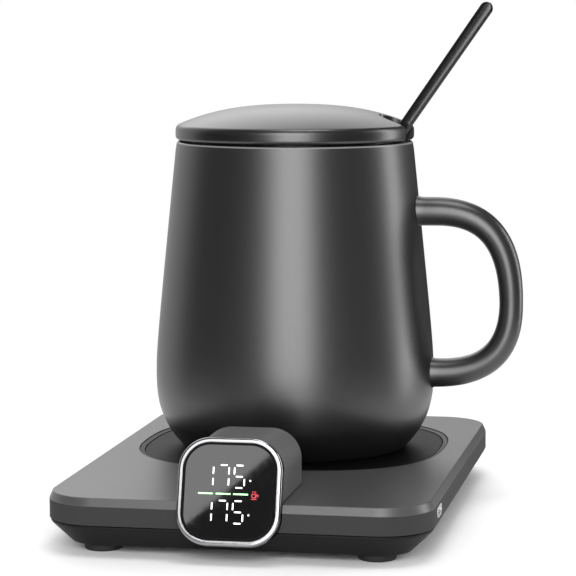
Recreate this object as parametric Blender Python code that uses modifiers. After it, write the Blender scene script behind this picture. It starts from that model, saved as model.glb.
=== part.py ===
"""A drinking mug with lid and spoon, standing on its warming base.

All sizes are in metres. +Z is up, +X runs to the mug's handle and +Y to the back of the base.
The origin is the centre of the flat underside of the base.
"""

import math

import bmesh
import bpy
from mathutils import Matrix, Vector

# Base housing
BASE_WIDTH = 0.115
BASE_DEPTH = 0.165
BASE_HEIGHT = 0.0152
BASE_CORNER = 0.016
BAND_SHARE = 0.5329
EDGE_BEVEL_WIDTH = 0.001
EDGE_BEVEL_HEIGHT = 0.0023
COVER_WALL = 0.0018
SHELL_WALL = 0.0016
SHELL_SETBACK = 0.0004
SHELL_FLANK_ROOM = 0.0006
SHELL_FLANK_RUN = 0.0065
SHELL_EDGE_HEIGHT = 0.0005
SHELL_EDGE_RUN = 0.0003
LIP_SETBACK = 0.0022
LIP_HEIGHT = 0.0028
FIT_GAP = 0.0003
SCREW_GAP = 0.0002
WELD_OVERLAP = 0.0004
CUT_OVERRUN = 0.005
WELD_DISTANCE = 0.000001
AXIS_WELD = 0.00001

# Feet and the case screws above them
FOOT_X_SHARE = 0.356522
FOOT_Y_SHARE = 0.41818
FOOT_RADIUS = 0.0056
FOOT_HEIGHT = 0.0025
FOOT_RECESS = 0.0006
FOOT_EDGE = 0.0005
CASE_HEAD_RADIUS = 0.0026
CASE_HEAD_HEIGHT = 0.0018
CASE_SHANK_RADIUS = 0.0013
CASE_BOSS_RADIUS = 0.0035
PILLAR_WALL = 0.0012
PILLAR_FLOOR = 0.0028
PILLAR_HEIGHT = 0.006
SCREW_TIP_ROOM = 0.0008

# Heating plate and what lies under it
PLATE_CENTRE_SHARE = 0.127273
PLATE_WIDTH_SHARE = 0.429565
PLATE_DEPTH_SHARE = 0.299394
PLATE_POWER = 2.6
PLATE_DROP = 0.0006
PLATE_FLANGE = 0.0021
PLATE_THICKNESS_SHARE = 0.19737
PLATE_EDGE = 0.0003
TRIM_WIDTH = 0.0016
TRIM_DROP = 0.0002
HEATER_MARGIN = 0.0094
HEATER_THICKNESS = 0.0008
HEATER_TAB_WIDTH = 0.014
HEATER_TAB_LENGTH = 0.006
SENSOR_HOLE = 0.005
PAD_MARGIN = 0.001
PAD_THICKNESS_SHARE = 0.098684
CLAMP_CORNER = 0.0035
CLAMP_THICKNESS = 0.0008
CLAMP_SCREW_X_SHARE = 0.93117
CLAMP_SCREW_Y_SHARE = 0.76923
CLAMP_WINDOW_SHARE = 0.225
CLAMP_WINDOW_PLACE_SHARE = 0.475
CLAMP_CENTRE_HOLE = 0.0022
CLAMP_BOSS_RADIUS = 0.0028
CLAMP_HEAD_RADIUS = 0.0025
CLAMP_HEAD_HEIGHT = 0.0014
CLAMP_SHANK_RADIUS = 0.0011
SENSOR_RADIUS = 0.0042
SENSOR_STEM_RADIUS = 0.0018
SENSOR_STEM_LENGTH = 0.0016
FUSE_RADIUS = 0.0018
FUSE_LENGTH = 0.01
FUSE_LEAD_RADIUS = 0.0006
FUSE_LEAD_LENGTH = 0.003
FUSE_X = 0.003
FUSE_PLACE_SHARE = 0.625
WIRE_RADIUS = 0.0008
SENSOR_WIRE_RADIUS = 0.0006

# Main board and its components
BOARD_BOTTOM_SHARE = 0.467105
BOARD_THICKNESS = 0.0012
BOARD_FRONT_ROOM = 0.0085
BOARD_DEPTH = 0.036
BOARD_PILLAR_ROOM = 0.001
BOARD_STEP_ROOM_X = 0.003
BOARD_STEP_ROOM_Y = 0.0015
BOARD_EDGE_ROOM = 0.0005
BOARD_POST_RADIUS = 0.0024
BOARD_POST_HOLE = 0.0011
BOARD_SCREW_RADIUS = 0.0009
BOARD_SCREW_HEAD_RADIUS = 0.0019
BOARD_SCREW_HEAD_HEIGHT = 0.0012
BOARD_SCREW_LENGTH = 0.0048
BOARD_SCREW_HOLE = 0.0013
BOARD_POST_INSET = 0.0045
INLET_SETBACK = 0.0255
INLET_WIDTH = 0.009
INLET_HEIGHT = 0.0033
INLET_WALL = 0.0004
INLET_LENGTH = 0.0076
INLET_PROUD = 0.0002
INLET_BACK = 0.0012
TONGUE_WIDTH = 0.0067
TONGUE_THICKNESS = 0.0007
TONGUE_RECESS = 0.0008
CONNECTOR_DEPTH = 0.005
CONNECTOR_HEIGHT_SHARE = 0.54167
WIRE_CONNECTOR_LEFT = -0.0125
WIRE_CONNECTOR_RIGHT = 0.009
CABLE_CONNECTOR_HALF = 0.0055
CABLE_CONNECTOR_SETBACK = 0.0179
COMPONENT_BEVEL = 0.0004
INDUCTOR_SIZE = 0.008
INDUCTOR_HEIGHT_SHARE = 0.79167
INDUCTOR_SETBACK = 0.0205
INDUCTOR_X_SHARE = -0.208696
CAPACITOR_RADIUS = 0.0032
CAPACITOR_HEIGHT_SHARE = 0.875
CAPACITOR_SETBACK = 0.035
CAPACITOR_X_SHARE = -0.143478
CHIP_SIZE = 0.007
CHIP_HEIGHT = 0.001
CHIP_SETBACK = 0.0335
CHIP_X_SHARE = 0.182609
TRANSISTOR_SIZE = 0.0062
TRANSISTOR_HEIGHT = 0.0014
TRANSISTOR_SETBACK = 0.033
TRANSISTOR_X_SHARE = -0.230435
BUZZER_RADIUS = 0.0045
BUZZER_HEIGHT_SHARE = 0.75
BUZZER_HOLE = 0.0011
BUZZER_SETBACK = 0.016
BUZZER_X_SHARE = 0.204348

# Display pod: the face leans back, and its frame of reference sits at the middle of the face
POD_TILT = math.radians(16)
FACE_PROUD = 0.0005
FACE_Z = 0.0188
BEZEL_HALF_X = 0.0153
BEZEL_HALF_Y = 0.01565
BEZEL_CORNER = 0.0094
BEZEL_DEPTH = 0.0032
BEZEL_RIM = 0.0018
BEZEL_LEDGE = 0.0029
BEZEL_ROUND = 0.0009
LENS_RECESS = 0.0005
LENS_THICKNESS = 0.0012
LENS_GAP = 0.0002
POD_INSET = 0.0003
POD_LOW_Z = 0.0031
POD_TOP_Z = 0.0319
POD_CORNER = 0.009
POD_REACH = 0.0345
POD_WALL = 0.0016
POD_EDGE = 0.001
POD_WELL_REACH = 0.0165
POD_WELL_INSET = 0.0002
POD_MOUTH_ROOM = 0.0005
POD_SKIRT_REACH = 0.0043
LIGHT_BOX_DEPTH = 0.0037
LIGHT_BOX_SIDE_ROOM = 0.0006
LIGHT_BOX_LOW_ROOM = 0.00255
LIGHT_BOX_HIGH_ROOM = 0.00155
LIGHT_BOX_CORNER = 0.0055
DIGIT_WIDTH = 0.0036
DIGIT_HEIGHT = 0.0064
DIGIT_PITCH = 0.0052
DIGIT_ROW_OFFSET = 0.0052
LIGHT_BAR_HEIGHT = 0.0008
DISPLAY_BOARD_MARGIN = 0.0004
DISPLAY_BOARD_THICKNESS = 0.001
CABLE_HALF_WIDTH = 0.004
CABLE_THICKNESS = 0.0004
POD_BOSS_X = 0.0095
POD_BOSS_RADIUS = 0.0026
POD_BOSS_CAP = 0.0027
POD_SCREW_RADIUS = 0.0012
POD_SCREW_HEAD_RADIUS = 0.0023
POD_SCREW_HEAD_HEIGHT = 0.0013
POD_SCREW_REACH = 0.0058

# Mug
MUG_HEIGHT = 0.0992
MUG_BELLY_RADIUS = 0.04515
MUG_BELLY_HEIGHT = 0.0246
MUG_FOOT_RADIUS = 0.036
MUG_FOOT_EDGE = 0.0006
MUG_BELLY_POWER = 2.75
MUG_RIM_RADIUS = 0.0382
MUG_TAPER_BLEND = 0.00825
MUG_WALL = 0.0034
MUG_FLOOR = 0.004
MUG_FLOOR_CORNER = 0.009
MUG_FLOOR_POWER = 3.0
LIP_OUTER_ROUND = 0.001
LIP_INNER_ROUND = 0.0013
HANDLE_TOP_HEIGHT = 0.0768
HANDLE_LOW_HEIGHT = 0.0246
HANDLE_SIDE_HEIGHT = 0.0472
HANDLE_OVERHANG = 0.02525
HANDLE_END_RADIUS = 0.00463
HANDLE_MIDDLE_RADIUS = 0.00377
HANDLE_TOP_RUN = 0.00135
HANDLE_LOW_RUN = 0.00085
HANDLE_SINK = 0.0007
HANDLE_BEND_SHARE = 0.675

# Lid, in heights from the mug's rim
LID_OVERHANG = 0.0003
LID_GAP = 0.0004
LID_FOOT_SETBACK = 0.0013
LID_FOOT_ROUND = 0.0004
LID_SIDE_LOW = 0.0017
LID_SIDE_HIGH = 0.0035
LID_SHOULDER_SETBACK = 0.0014
LID_SHOULDER_HEIGHT = 0.0055
LID_HEIGHT = 0.0116
LID_DOME_POWER = 2.6
LID_THICKNESS = 0.0038
PLUG_CLEARANCE = 0.0004
PLUG_WALL = 0.0038
PLUG_DEPTH = 0.0061
PLUG_LIP_SETBACK = 0.0004
PLUG_LIP_HEIGHT = 0.0012
SEAL_GROOVE_TOP = 0.0007
SEAL_GROOVE_DEPTH = 0.0018
SEAL_FIN = 0.0006
SEAL_FIN_SHARE = 0.38889
NOTCH_AZIMUTH = math.radians(-5)
NOTCH_WIDTH = 0.0106
NOTCH_DEPTH = 0.0105

# Spoon
SPOON_LENGTH = 0.168
SPOON_WALL_ROOM = 0.0021
SPOON_TIP_ROOM = 0.008813
SPOON_TIP_LIFT = 0.0017
SPOON_OFFSET = 0.001
BOWL_LENGTH = 0.034
BOWL_HALF_WIDTH = 0.011
BOWL_DEPTH = 0.0045
BOWL_THICKNESS = 0.0011
NECK_HALF_WIDTH = 0.0016
NECK_THICKNESS = 0.0019
SPOON_END_HALF_WIDTH = 0.00215
SPOON_END_THICKNESS = 0.0017

# Counts of facets
TURN_STEPS = 44
SCREW_STEPS = 10
BORE_STEPS = 16
CORNER_STEPS = 6
PLATE_POINTS = 40

# Places worked out from the sizes above
HALF_WIDTH = BASE_WIDTH / 2
HALF_DEPTH = BASE_DEPTH / 2
BASE_FRONT = -HALF_DEPTH
BAND_BOTTOM = BASE_HEIGHT * (1 - BAND_SHARE)
COVER_UNDERSIDE = BASE_HEIGHT - COVER_WALL
SHELL_TOP = BAND_BOTTOM - FIT_GAP
SHELL_FLANK_TOP = SHELL_TOP - SHELL_FLANK_ROOM
SHELL_FLANK_SLOPE = SHELL_FLANK_RUN / SHELL_FLANK_TOP
FOOT_X = BASE_WIDTH * FOOT_X_SHARE
FOOT_Y = BASE_DEPTH * FOOT_Y_SHARE
PILLAR_RADIUS = CASE_HEAD_RADIUS + SCREW_GAP + PILLAR_WALL
PLATE_CENTRE_Y = BASE_DEPTH * PLATE_CENTRE_SHARE
PLATE_OPENING = min(BASE_WIDTH * PLATE_WIDTH_SHARE, BASE_DEPTH * PLATE_DEPTH_SHARE)
PLATE_THICKNESS = BASE_HEIGHT * PLATE_THICKNESS_SHARE
PAD_THICKNESS = BASE_HEIGHT * PAD_THICKNESS_SHARE
HEATER_RADIUS = PLATE_OPENING - HEATER_MARGIN
HEATER_TAB_REACH = HEATER_RADIUS + HEATER_TAB_LENGTH
PAD_RADIUS = HEATER_RADIUS + PAD_MARGIN
CLAMP_SCREW_X = PLATE_OPENING * CLAMP_SCREW_X_SHARE
CLAMP_SCREW_Y = PLATE_OPENING * CLAMP_SCREW_Y_SHARE
CLAMP_HALF_X = CLAMP_SCREW_X + CLAMP_CORNER
CLAMP_HALF_Y = CLAMP_SCREW_Y + CLAMP_CORNER
CLAMP_WINDOW_RADIUS = HEATER_RADIUS * CLAMP_WINDOW_SHARE
CLAMP_WINDOW_PLACE = HEATER_RADIUS * CLAMP_WINDOW_PLACE_SHARE
FUSE_Y = PLATE_CENTRE_Y - HEATER_RADIUS * FUSE_PLACE_SHARE
PLATE_TOP = BASE_HEIGHT - PLATE_DROP
PLATE_BOTTOM = PLATE_TOP - PLATE_THICKNESS
HEATER_BOTTOM = PLATE_BOTTOM - FIT_GAP - HEATER_THICKNESS
PAD_BOTTOM = HEATER_BOTTOM - FIT_GAP - PAD_THICKNESS
CLAMP_TOP = PAD_BOTTOM - FIT_GAP
CLAMP_BOTTOM = CLAMP_TOP - CLAMP_THICKNESS
BOARD_BOTTOM = BASE_HEIGHT * BOARD_BOTTOM_SHARE
BOARD_TOP = BOARD_BOTTOM + BOARD_THICKNESS
PART_SEAT = BOARD_TOP + FIT_GAP
PART_HEADROOM = COVER_UNDERSIDE - PART_SEAT
BOARD_FRONT = BASE_FRONT + BOARD_FRONT_ROOM
BOARD_BACK = BOARD_FRONT + BOARD_DEPTH
BOARD_LEFT = PILLAR_RADIUS + BOARD_PILLAR_ROOM - FOOT_X
BOARD_STEP_X = FOOT_X - PILLAR_RADIUS - BOARD_STEP_ROOM_X
BOARD_STEP_Y = PILLAR_RADIUS + BOARD_STEP_ROOM_Y - FOOT_Y
CONNECTOR_HEIGHT = PART_HEADROOM * CONNECTOR_HEIGHT_SHARE
CABLE_CONNECTOR_Y = BASE_FRONT + CABLE_CONNECTOR_SETBACK
INDUCTOR_HEIGHT = PART_HEADROOM * INDUCTOR_HEIGHT_SHARE
INDUCTOR_PLACE = Vector((BASE_WIDTH * INDUCTOR_X_SHARE, BASE_FRONT + INDUCTOR_SETBACK, 0))
CAPACITOR_HEIGHT = PART_HEADROOM * CAPACITOR_HEIGHT_SHARE
CAPACITOR_PLACE = Vector((BASE_WIDTH * CAPACITOR_X_SHARE, BASE_FRONT + CAPACITOR_SETBACK, 0))
CHIP_PLACE = Vector((BASE_WIDTH * CHIP_X_SHARE, BASE_FRONT + CHIP_SETBACK, 0))
TRANSISTOR_PLACE = Vector((BASE_WIDTH * TRANSISTOR_X_SHARE, BASE_FRONT + TRANSISTOR_SETBACK, 0))
BUZZER_HEIGHT = PART_HEADROOM * BUZZER_HEIGHT_SHARE
BUZZER_PLACE = Vector((BASE_WIDTH * BUZZER_X_SHARE, BASE_FRONT + BUZZER_SETBACK, 0))
BOARD_RIGHT = HALF_WIDTH - LIP_SETBACK - SHELL_WALL - BOARD_EDGE_ROOM
INLET_Y = BASE_FRONT + INLET_SETBACK
INLET_Z = PART_SEAT + INLET_HEIGHT / 2
INLET_MOUTH = HALF_WIDTH + INLET_PROUD
MUG_BOTTOM = PLATE_TOP + FIT_GAP
RIM_Z = MUG_BOTTOM + MUG_HEIGHT
LENS_BACK = -LENS_RECESS - LENS_THICKNESS
LIGHT_BOX_FRONT = LENS_BACK - FIT_GAP
LIGHT_BOX_REAR = LIGHT_BOX_FRONT - LIGHT_BOX_DEPTH
DISPLAY_BOARD_FRONT = LIGHT_BOX_REAR - FIT_GAP
DISPLAY_BOARD_REAR = DISPLAY_BOARD_FRONT - DISPLAY_BOARD_THICKNESS
FACE_Y = BASE_FRONT - FACE_PROUD
POD_HALF_X = BEZEL_HALF_X - POD_INSET
POD_BACK_Y = BASE_FRONT + POD_REACH
POD_WELL_BACK = BASE_FRONT + POD_WELL_REACH
POD_SKIRT_BACK = BASE_FRONT + POD_SKIRT_REACH
POD_BOSS_TOP = BASE_HEIGHT + POD_SCREW_REACH + FIT_GAP + POD_BOSS_CAP
LIGHT_BOX_HALF_X = BEZEL_HALF_X - BEZEL_LEDGE - LIGHT_BOX_SIDE_ROOM
LIGHT_BOX_LOW = BEZEL_LEDGE + LIGHT_BOX_LOW_ROOM - BEZEL_HALF_Y
LIGHT_BOX_HIGH = BEZEL_HALF_Y - BEZEL_LEDGE - LIGHT_BOX_HIGH_ROOM
POD_BOSS_Y = POD_BACK_Y - POD_WALL - POD_BOSS_RADIUS + WELD_OVERLAP
FOOT_PLACES = [(sx * FOOT_X, sy * FOOT_Y) for sy in (-1, 1) for sx in (-1, 1)]
CLAMP_PLACES = [
    (sx * CLAMP_SCREW_X, PLATE_CENTRE_Y + sy * CLAMP_SCREW_Y) for sy in (-1, 1) for sx in (-1, 1)
]
BOARD_POSTS = [
    (BOARD_LEFT + BOARD_POST_INSET, BOARD_FRONT + BOARD_POST_INSET),
    (BOARD_RIGHT - 2 * BOARD_POST_INSET, BOARD_BACK - BOARD_POST_INSET),
    (BOARD_LEFT + BOARD_POST_INSET, BOARD_BACK - BOARD_POST_INSET),
    (BOARD_STEP_X - BOARD_POST_INSET, BOARD_FRONT + BOARD_POST_INSET),
]
POD_MIDDLE_Z = (POD_TOP_Z + POD_LOW_Z) / 2
POD_HALF_Z = (POD_TOP_Z - POD_LOW_Z) / 2
POD_BOSSES = [(-POD_BOSS_X, POD_BOSS_Y), (POD_BOSS_X, POD_BOSS_Y)]
MUG_TAPER = (MUG_BELLY_RADIUS - MUG_RIM_RADIUS) / (
    math.hypot(MUG_HEIGHT - MUG_BELLY_HEIGHT, MUG_TAPER_BLEND) - MUG_TAPER_BLEND
)
HANDLE_ROOT = MUG_RIM_RADIUS - HANDLE_SINK
HANDLE_TOP_STRAIGHT = MUG_BELLY_RADIUS + HANDLE_TOP_RUN
HANDLE_LOW_STRAIGHT = MUG_BELLY_RADIUS + HANDLE_LOW_RUN
HANDLE_REACH = MUG_BELLY_RADIUS + HANDLE_OVERHANG
LID_RADIUS = MUG_RIM_RADIUS + LID_OVERHANG
LID_FOOT_RADIUS = LID_RADIUS - LID_FOOT_SETBACK
LID_SHOULDER_RADIUS = LID_RADIUS - LID_SHOULDER_SETBACK
PLUG_RADIUS = MUG_RIM_RADIUS - MUG_WALL - PLUG_CLEARANCE
NOTCH_INNER = LID_RADIUS - NOTCH_DEPTH
SPOON_AT_RIM = MUG_RIM_RADIUS - MUG_WALL - SPOON_WALL_ROOM


# Scene, collections and materials

for old in list(bpy.data.objects):
    bpy.data.objects.remove(old, do_unlink=True)

PARTS = bpy.data.collections.new("warming_mug")
CUTTERS = bpy.data.collections.new("cutters")
bpy.context.scene.collection.children.link(PARTS)
bpy.context.scene.collection.children.link(CUTTERS)
CUTTERS.hide_render = True


def material(name, colour, roughness, metallic=0.0):
    made = bpy.data.materials.new(name)
    made.use_nodes = True
    shader = made.node_tree.nodes["Principled BSDF"]
    shader.inputs["Base Color"].default_value = (*colour, 1.0)
    shader.inputs["Roughness"].default_value = roughness
    shader.inputs["Metallic"].default_value = metallic
    return made


GLAZE = material("satin_charcoal_glaze", (0.055, 0.052, 0.055), 0.38)
COVER_GREY = material("satin_grey_cover", (0.13, 0.13, 0.135), 0.42, 0.3)
SHELL_BLACK = material("matt_black_plastic", (0.013, 0.013, 0.014), 0.55)
RUBBER = material("black_rubber", (0.008, 0.008, 0.008), 0.8)
PLATE_COAT = material("dark_plate_coating", (0.022, 0.021, 0.023), 0.5, 0.2)
TRIM_GREY = material("dark_grey_silicone", (0.05, 0.048, 0.052), 0.6)
CHROME = material("polished_chrome", (0.8, 0.8, 0.82), 0.08, 1.0)
BLACK_GLASS = material("black_display_glass", (0.01, 0.01, 0.011), 0.06)
SPOON_STEEL = material("black_coated_steel", (0.03, 0.03, 0.031), 0.32, 0.7)
BARE_STEEL = material("bright_steel", (0.6, 0.6, 0.62), 0.3, 1.0)
FOIL = material("heater_foil", (0.45, 0.18, 0.05), 0.45, 0.4)
MICA = material("white_insulation", (0.7, 0.68, 0.62), 0.9)
BOARD_GREEN = material("green_circuit_board", (0.02, 0.14, 0.05), 0.5)
BLACK_CHIP = material("black_component", (0.015, 0.015, 0.016), 0.5)
WHITE_PLASTIC = material("white_plastic", (0.75, 0.75, 0.72), 0.5)
RED_WIRE = material("red_wire_sleeve", (0.5, 0.02, 0.02), 0.5)
WHITE_WIRE = material("white_wire_sleeve", (0.7, 0.7, 0.68), 0.5)


# Modelling functions


def smooth(mesh, angle=math.radians(32)):
    mesh.shade_smooth()
    mesh.set_sharp_from_angle(angle=angle)


def place(obj, stuff=None, parent=None, at=(0, 0, 0)):
    """Links a piece into the model, with its material, parent and place."""
    PARTS.objects.link(obj)
    if stuff:
        obj.data.materials.append(stuff)
    obj.parent = parent
    obj.location = at
    return obj


def as_cutter(obj):
    CUTTERS.objects.link(obj)
    obj.hide_render = True
    obj.display_type = "WIRE"
    return obj


def boolean(target, tool, operation="DIFFERENCE"):
    step = target.modifiers.new(tool.name, "BOOLEAN")
    step.operation = operation
    step.solver = "EXACT"
    step.object = tool


def rounded_rectangle(half_x, half_y, corner, steps=CORNER_STEPS, middle=(0, 0)):
    """Points of a rectangle with round corners, counter-clockwise from the right side."""
    points = []
    for turn, (sx, sy) in enumerate(((1, 1), (-1, 1), (-1, -1), (1, -1))):
        for step in range(steps + 1):
            angle = math.pi / 2 * (turn + step / steps)
            x = middle[0] + sx * (half_x - corner) + corner * math.cos(angle)
            y = middle[1] + sy * (half_y - corner) + corner * math.sin(angle)
            points.append((x, y))
    return points


def squircle(half, middle=(0, 0), count=PLATE_POINTS):
    """Points of the plate's square-round outline."""
    points = []
    for step in range(count):
        angle = 2 * math.pi * (step + 0.5) / count
        c, s = math.cos(angle), math.sin(angle)
        reach = half / (abs(c) ** PLATE_POWER + abs(s) ** PLATE_POWER) ** (1 / PLATE_POWER)
        points.append((middle[0] + reach * c, middle[1] + reach * s))
    return points


def circle(radius, middle=(0, 0), count=TURN_STEPS):
    points = []
    for step in range(count):
        angle = 2 * math.pi * step / count
        points.append((middle[0] + radius * math.cos(angle), middle[1] + radius * math.sin(angle)))
    return points


def at_height(outline, z):
    return [Vector((x, y, z)) for x, y in outline]


def loft(name, rings, first_cap=True, last_cap=True, endless=False):
    """Skins a row of closed rings that run counter-clockwise, from the lowest ring up."""
    work = bmesh.new()
    rows = [[work.verts.new(point) for point in ring] for ring in rings]
    pairs = list(zip(rows, rows[1:]))
    if endless:
        pairs.append((rows[-1], rows[0]))
    for low, high in pairs:
        for step in range(len(low)):
            after = (step + 1) % len(low)
            work.faces.new((low[step], low[after], high[after], high[step]))
    if first_cap and not endless:
        work.faces.new(list(reversed(rows[0])))
    if last_cap and not endless:
        work.faces.new(rows[-1])
    mesh = bpy.data.meshes.new(name)
    work.to_mesh(mesh)
    work.free()
    smooth(mesh)
    return bpy.data.objects.new(name, mesh)


def baked(obj):
    """Turns a curve, or a mesh with modifiers, into a plain welded mesh of the same name."""
    name = obj.name
    bpy.context.scene.collection.objects.link(obj)
    bpy.context.view_layer.update()
    graph = bpy.context.evaluated_depsgraph_get()
    mesh = bpy.data.meshes.new_from_object(obj.evaluated_get(graph))
    mesh.transform(obj.matrix_world)
    bpy.data.objects.remove(obj, do_unlink=True)
    work = bmesh.new()
    work.from_mesh(mesh)
    bmesh.ops.remove_doubles(work, verts=work.verts, dist=WELD_DISTANCE)
    bmesh.ops.recalc_face_normals(work, faces=work.faces)
    work.to_mesh(mesh)
    work.free()
    mesh.name = name
    smooth(mesh)
    return bpy.data.objects.new(name, mesh)


def flat(name, outlines, low, high):
    """A plate between two heights. The first outline is its edge and the others are holes."""
    curve = bpy.data.curves.new(name, "CURVE")
    curve.dimensions = "2D"
    curve.fill_mode = "BOTH"
    curve.extrude = (high - low) / 2
    for outline in outlines:
        spline = curve.splines.new("POLY")
        spline.points.add(len(outline) - 1)
        for point, (x, y) in zip(spline.points, outline):
            point.co = (x, y, 0, 1)
        spline.use_cyclic_u = True
    made = baked(bpy.data.objects.new(name, curve))
    made.data.transform(Matrix.Translation((0, 0, (low + high) / 2)))
    return made


def turned(name, profile, closed=False, steps=TURN_STEPS):
    """Turns a profile of radius and height, given down its outer side, about +Z."""
    mesh = bpy.data.meshes.new(name)
    edges = [(i, i + 1) for i in range(len(profile) - 1)]
    if closed:
        edges.append((len(profile) - 1, 0))
    mesh.from_pydata([(radius, 0, z) for radius, z in profile], edges, [])
    made = bpy.data.objects.new(name, mesh)
    spin = made.modifiers.new("turn", "SCREW")
    spin.axis = "Z"
    spin.steps = steps
    spin.render_steps = steps
    spin.use_merge_vertices = True
    spin.merge_threshold = AXIS_WELD
    return baked(made)


def rods(name, places, radius, low, high, steps=BORE_STEPS):
    """Upright cylinders, one at each place, in one mesh."""
    work = bmesh.new()
    for x, y in places:
        matrix = Matrix.Translation((x, y, (low + high) / 2))
        bmesh.ops.create_cone(
            work, cap_ends=True, segments=steps, radius1=radius, radius2=radius,
            depth=high - low, matrix=matrix,
        )
    mesh = bpy.data.meshes.new(name)
    work.to_mesh(mesh)
    work.free()
    smooth(mesh)
    return bpy.data.objects.new(name, mesh)


def block(name, low, high, bevel=0):
    """A box between two corners, with its edges bevelled where a width is given."""
    work = bmesh.new()
    bmesh.ops.create_cube(work, size=1)
    low, high = Vector(low), Vector(high)
    bmesh.ops.scale(work, vec=high - low, verts=work.verts)
    bmesh.ops.translate(work, vec=(low + high) / 2, verts=work.verts)
    mesh = bpy.data.meshes.new(name)
    work.to_mesh(mesh)
    work.free()
    made = bpy.data.objects.new(name, mesh)
    if bevel:
        edge = made.modifiers.new("edge", "BEVEL")
        edge.width = bevel
        edge.segments = 1
    return made


def tube(name, points, radius, resolution=1):
    """A round wire along points."""
    curve = bpy.data.curves.new(name, "CURVE")
    curve.dimensions = "3D"
    curve.bevel_depth = radius
    curve.bevel_resolution = resolution
    curve.use_fill_caps = True
    spline = curve.splines.new("POLY")
    spline.points.add(len(points) - 1)
    for index, point in enumerate(points):
        spline.points[index].co = (*point, 1)
    return bpy.data.objects.new(name, curve)


def smooth_path(knots, between=3):
    """Points on a smooth curve through the knots."""
    knots = [Vector(knot) for knot in knots]
    padded = [2 * knots[0] - knots[1], *knots, 2 * knots[-1] - knots[-2]]
    points = []
    for a, b, c, d in zip(padded, padded[1:], padded[2:], padded[3:]):
        for step in range(between):
            t = step / between
            points.append(
                0.5 * (2 * b + (c - a) * t + (2 * a - 5 * b + 4 * c - d) * t**2
                       + (3 * b - a - 3 * c + d) * t**3)
            )
    points.append(knots[-1])
    return points


def screw(name, at, head_radius, head_height, shank_radius, head_low, tip, up=True):
    """A pan head screw that points up, or down, at a place."""
    if up:
        head_high = head_low + head_height
        profile = [
            (0, tip), (shank_radius, tip), (shank_radius, head_high), (head_radius, head_high),
            (head_radius, head_low + head_height / 3), (head_radius - head_height / 3, head_low),
            (0, head_low),
        ]
    else:
        head_high = head_low + head_height
        profile = [
            (0, head_high), (head_radius - head_height / 3, head_high),
            (head_radius, head_high - head_height / 3), (head_radius, head_low),
            (shank_radius, head_low), (shank_radius, tip), (0, tip),
        ]
    return place(turned(name, profile, steps=SCREW_STEPS), BARE_STEEL, BASE, (*at, 0))


def base_ring(inset, z):
    outline = rounded_rectangle(HALF_WIDTH - inset, HALF_DEPTH - inset, BASE_CORNER - inset)
    return at_height(outline, z)


# Empties that carry the pieces of each body


def empty(name, at, parent=None):
    made = bpy.data.objects.new(name, None)
    PARTS.objects.link(made)
    made.parent = parent
    made.location = at
    return made


BASE = empty("base_origin", (0, 0, 0))
FACE = empty("pod_face", (0, FACE_Y, FACE_Z), BASE)
FACE.rotation_euler = (math.pi / 2 - POD_TILT, 0, 0)
MUG = empty("mug_axis", (0, PLATE_CENTRE_Y, MUG_BOTTOM), BASE)
LID = empty("lid_axis", (0, 0, MUG_HEIGHT), MUG)


# Cutters shared by several pieces of the base

PLATE_MIDDLE = (0, PLATE_CENTRE_Y)



def pod_outline(inset):
    return rounded_rectangle(
        POD_HALF_X - inset, POD_HALF_Z - inset, POD_CORNER - inset, middle=(0, POD_MIDDLE_Z)
    )


def along_y(outline, *depths):
    """Rings of an outline of X and Z at each Y, from the back to the front."""
    return [[Vector((x, y, z)) for x, z in outline] for y in depths]


pod_mouth = as_cutter(loft("pod_mouth", along_y(
    pod_outline(-POD_MOUTH_ROOM), POD_SKIRT_BACK + FIT_GAP, -HALF_DEPTH - CUT_OVERRUN
)))
pod_well = as_cutter(loft("pod_well", along_y(
    pod_outline(POD_WALL + POD_WELL_INSET), POD_WELL_BACK, -HALF_DEPTH - CUT_OVERRUN
)))


def sideways(obj):
    """Turns an upright prism so that it runs along +X, its width along Y."""
    obj.data.transform(Matrix(((0, 0, 1, 0), (1, 0, 0, 0), (0, 1, 0, 0), (0, 0, 0, 1))))
    return obj


def inlet_outline(width, height):
    return rounded_rectangle(width / 2, height / 2, height / 2, 5, (INLET_Y, INLET_Z))


inlet_hole = as_cutter(sideways(flat(
    "inlet_hole",
    [inlet_outline(INLET_WIDTH + 2 * FIT_GAP, INLET_HEIGHT + 2 * FIT_GAP)],
    INLET_MOUTH - INLET_LENGTH - CUT_OVERRUN, HALF_WIDTH + CUT_OVERRUN,
)))


# Base top cover: a bevelled shell with the plate opening, pod opening, inlet hole and screw bosses

base_top_cover = place(loft("base_top_cover", [
    base_ring(COVER_WALL, COVER_UNDERSIDE), base_ring(COVER_WALL, BAND_BOTTOM),
    base_ring(0, BAND_BOTTOM), base_ring(0, BASE_HEIGHT - EDGE_BEVEL_HEIGHT),
    base_ring(EDGE_BEVEL_WIDTH, BASE_HEIGHT),
]), COVER_GREY, BASE)
cover_bosses = as_cutter(rods(
    "cover_bosses", FOOT_PLACES, CASE_BOSS_RADIUS,
    PILLAR_HEIGHT + FIT_GAP, COVER_UNDERSIDE + WELD_OVERLAP,
))
clamp_bosses = as_cutter(rods(
    "clamp_bosses", CLAMP_PLACES, CLAMP_BOSS_RADIUS,
    CLAMP_TOP + FIT_GAP, COVER_UNDERSIDE + WELD_OVERLAP, SCREW_STEPS,
))
boolean(base_top_cover, cover_bosses, "UNION")
boolean(base_top_cover, clamp_bosses, "UNION")
CASE_TIP = COVER_UNDERSIDE - SCREW_TIP_ROOM - FIT_GAP
boolean(base_top_cover, as_cutter(rods(
    "cover_boss_bores", FOOT_PLACES, CASE_SHANK_RADIUS + SCREW_GAP,
    PILLAR_HEIGHT - CUT_OVERRUN, CASE_TIP + FIT_GAP, SCREW_STEPS,
)))
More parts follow.
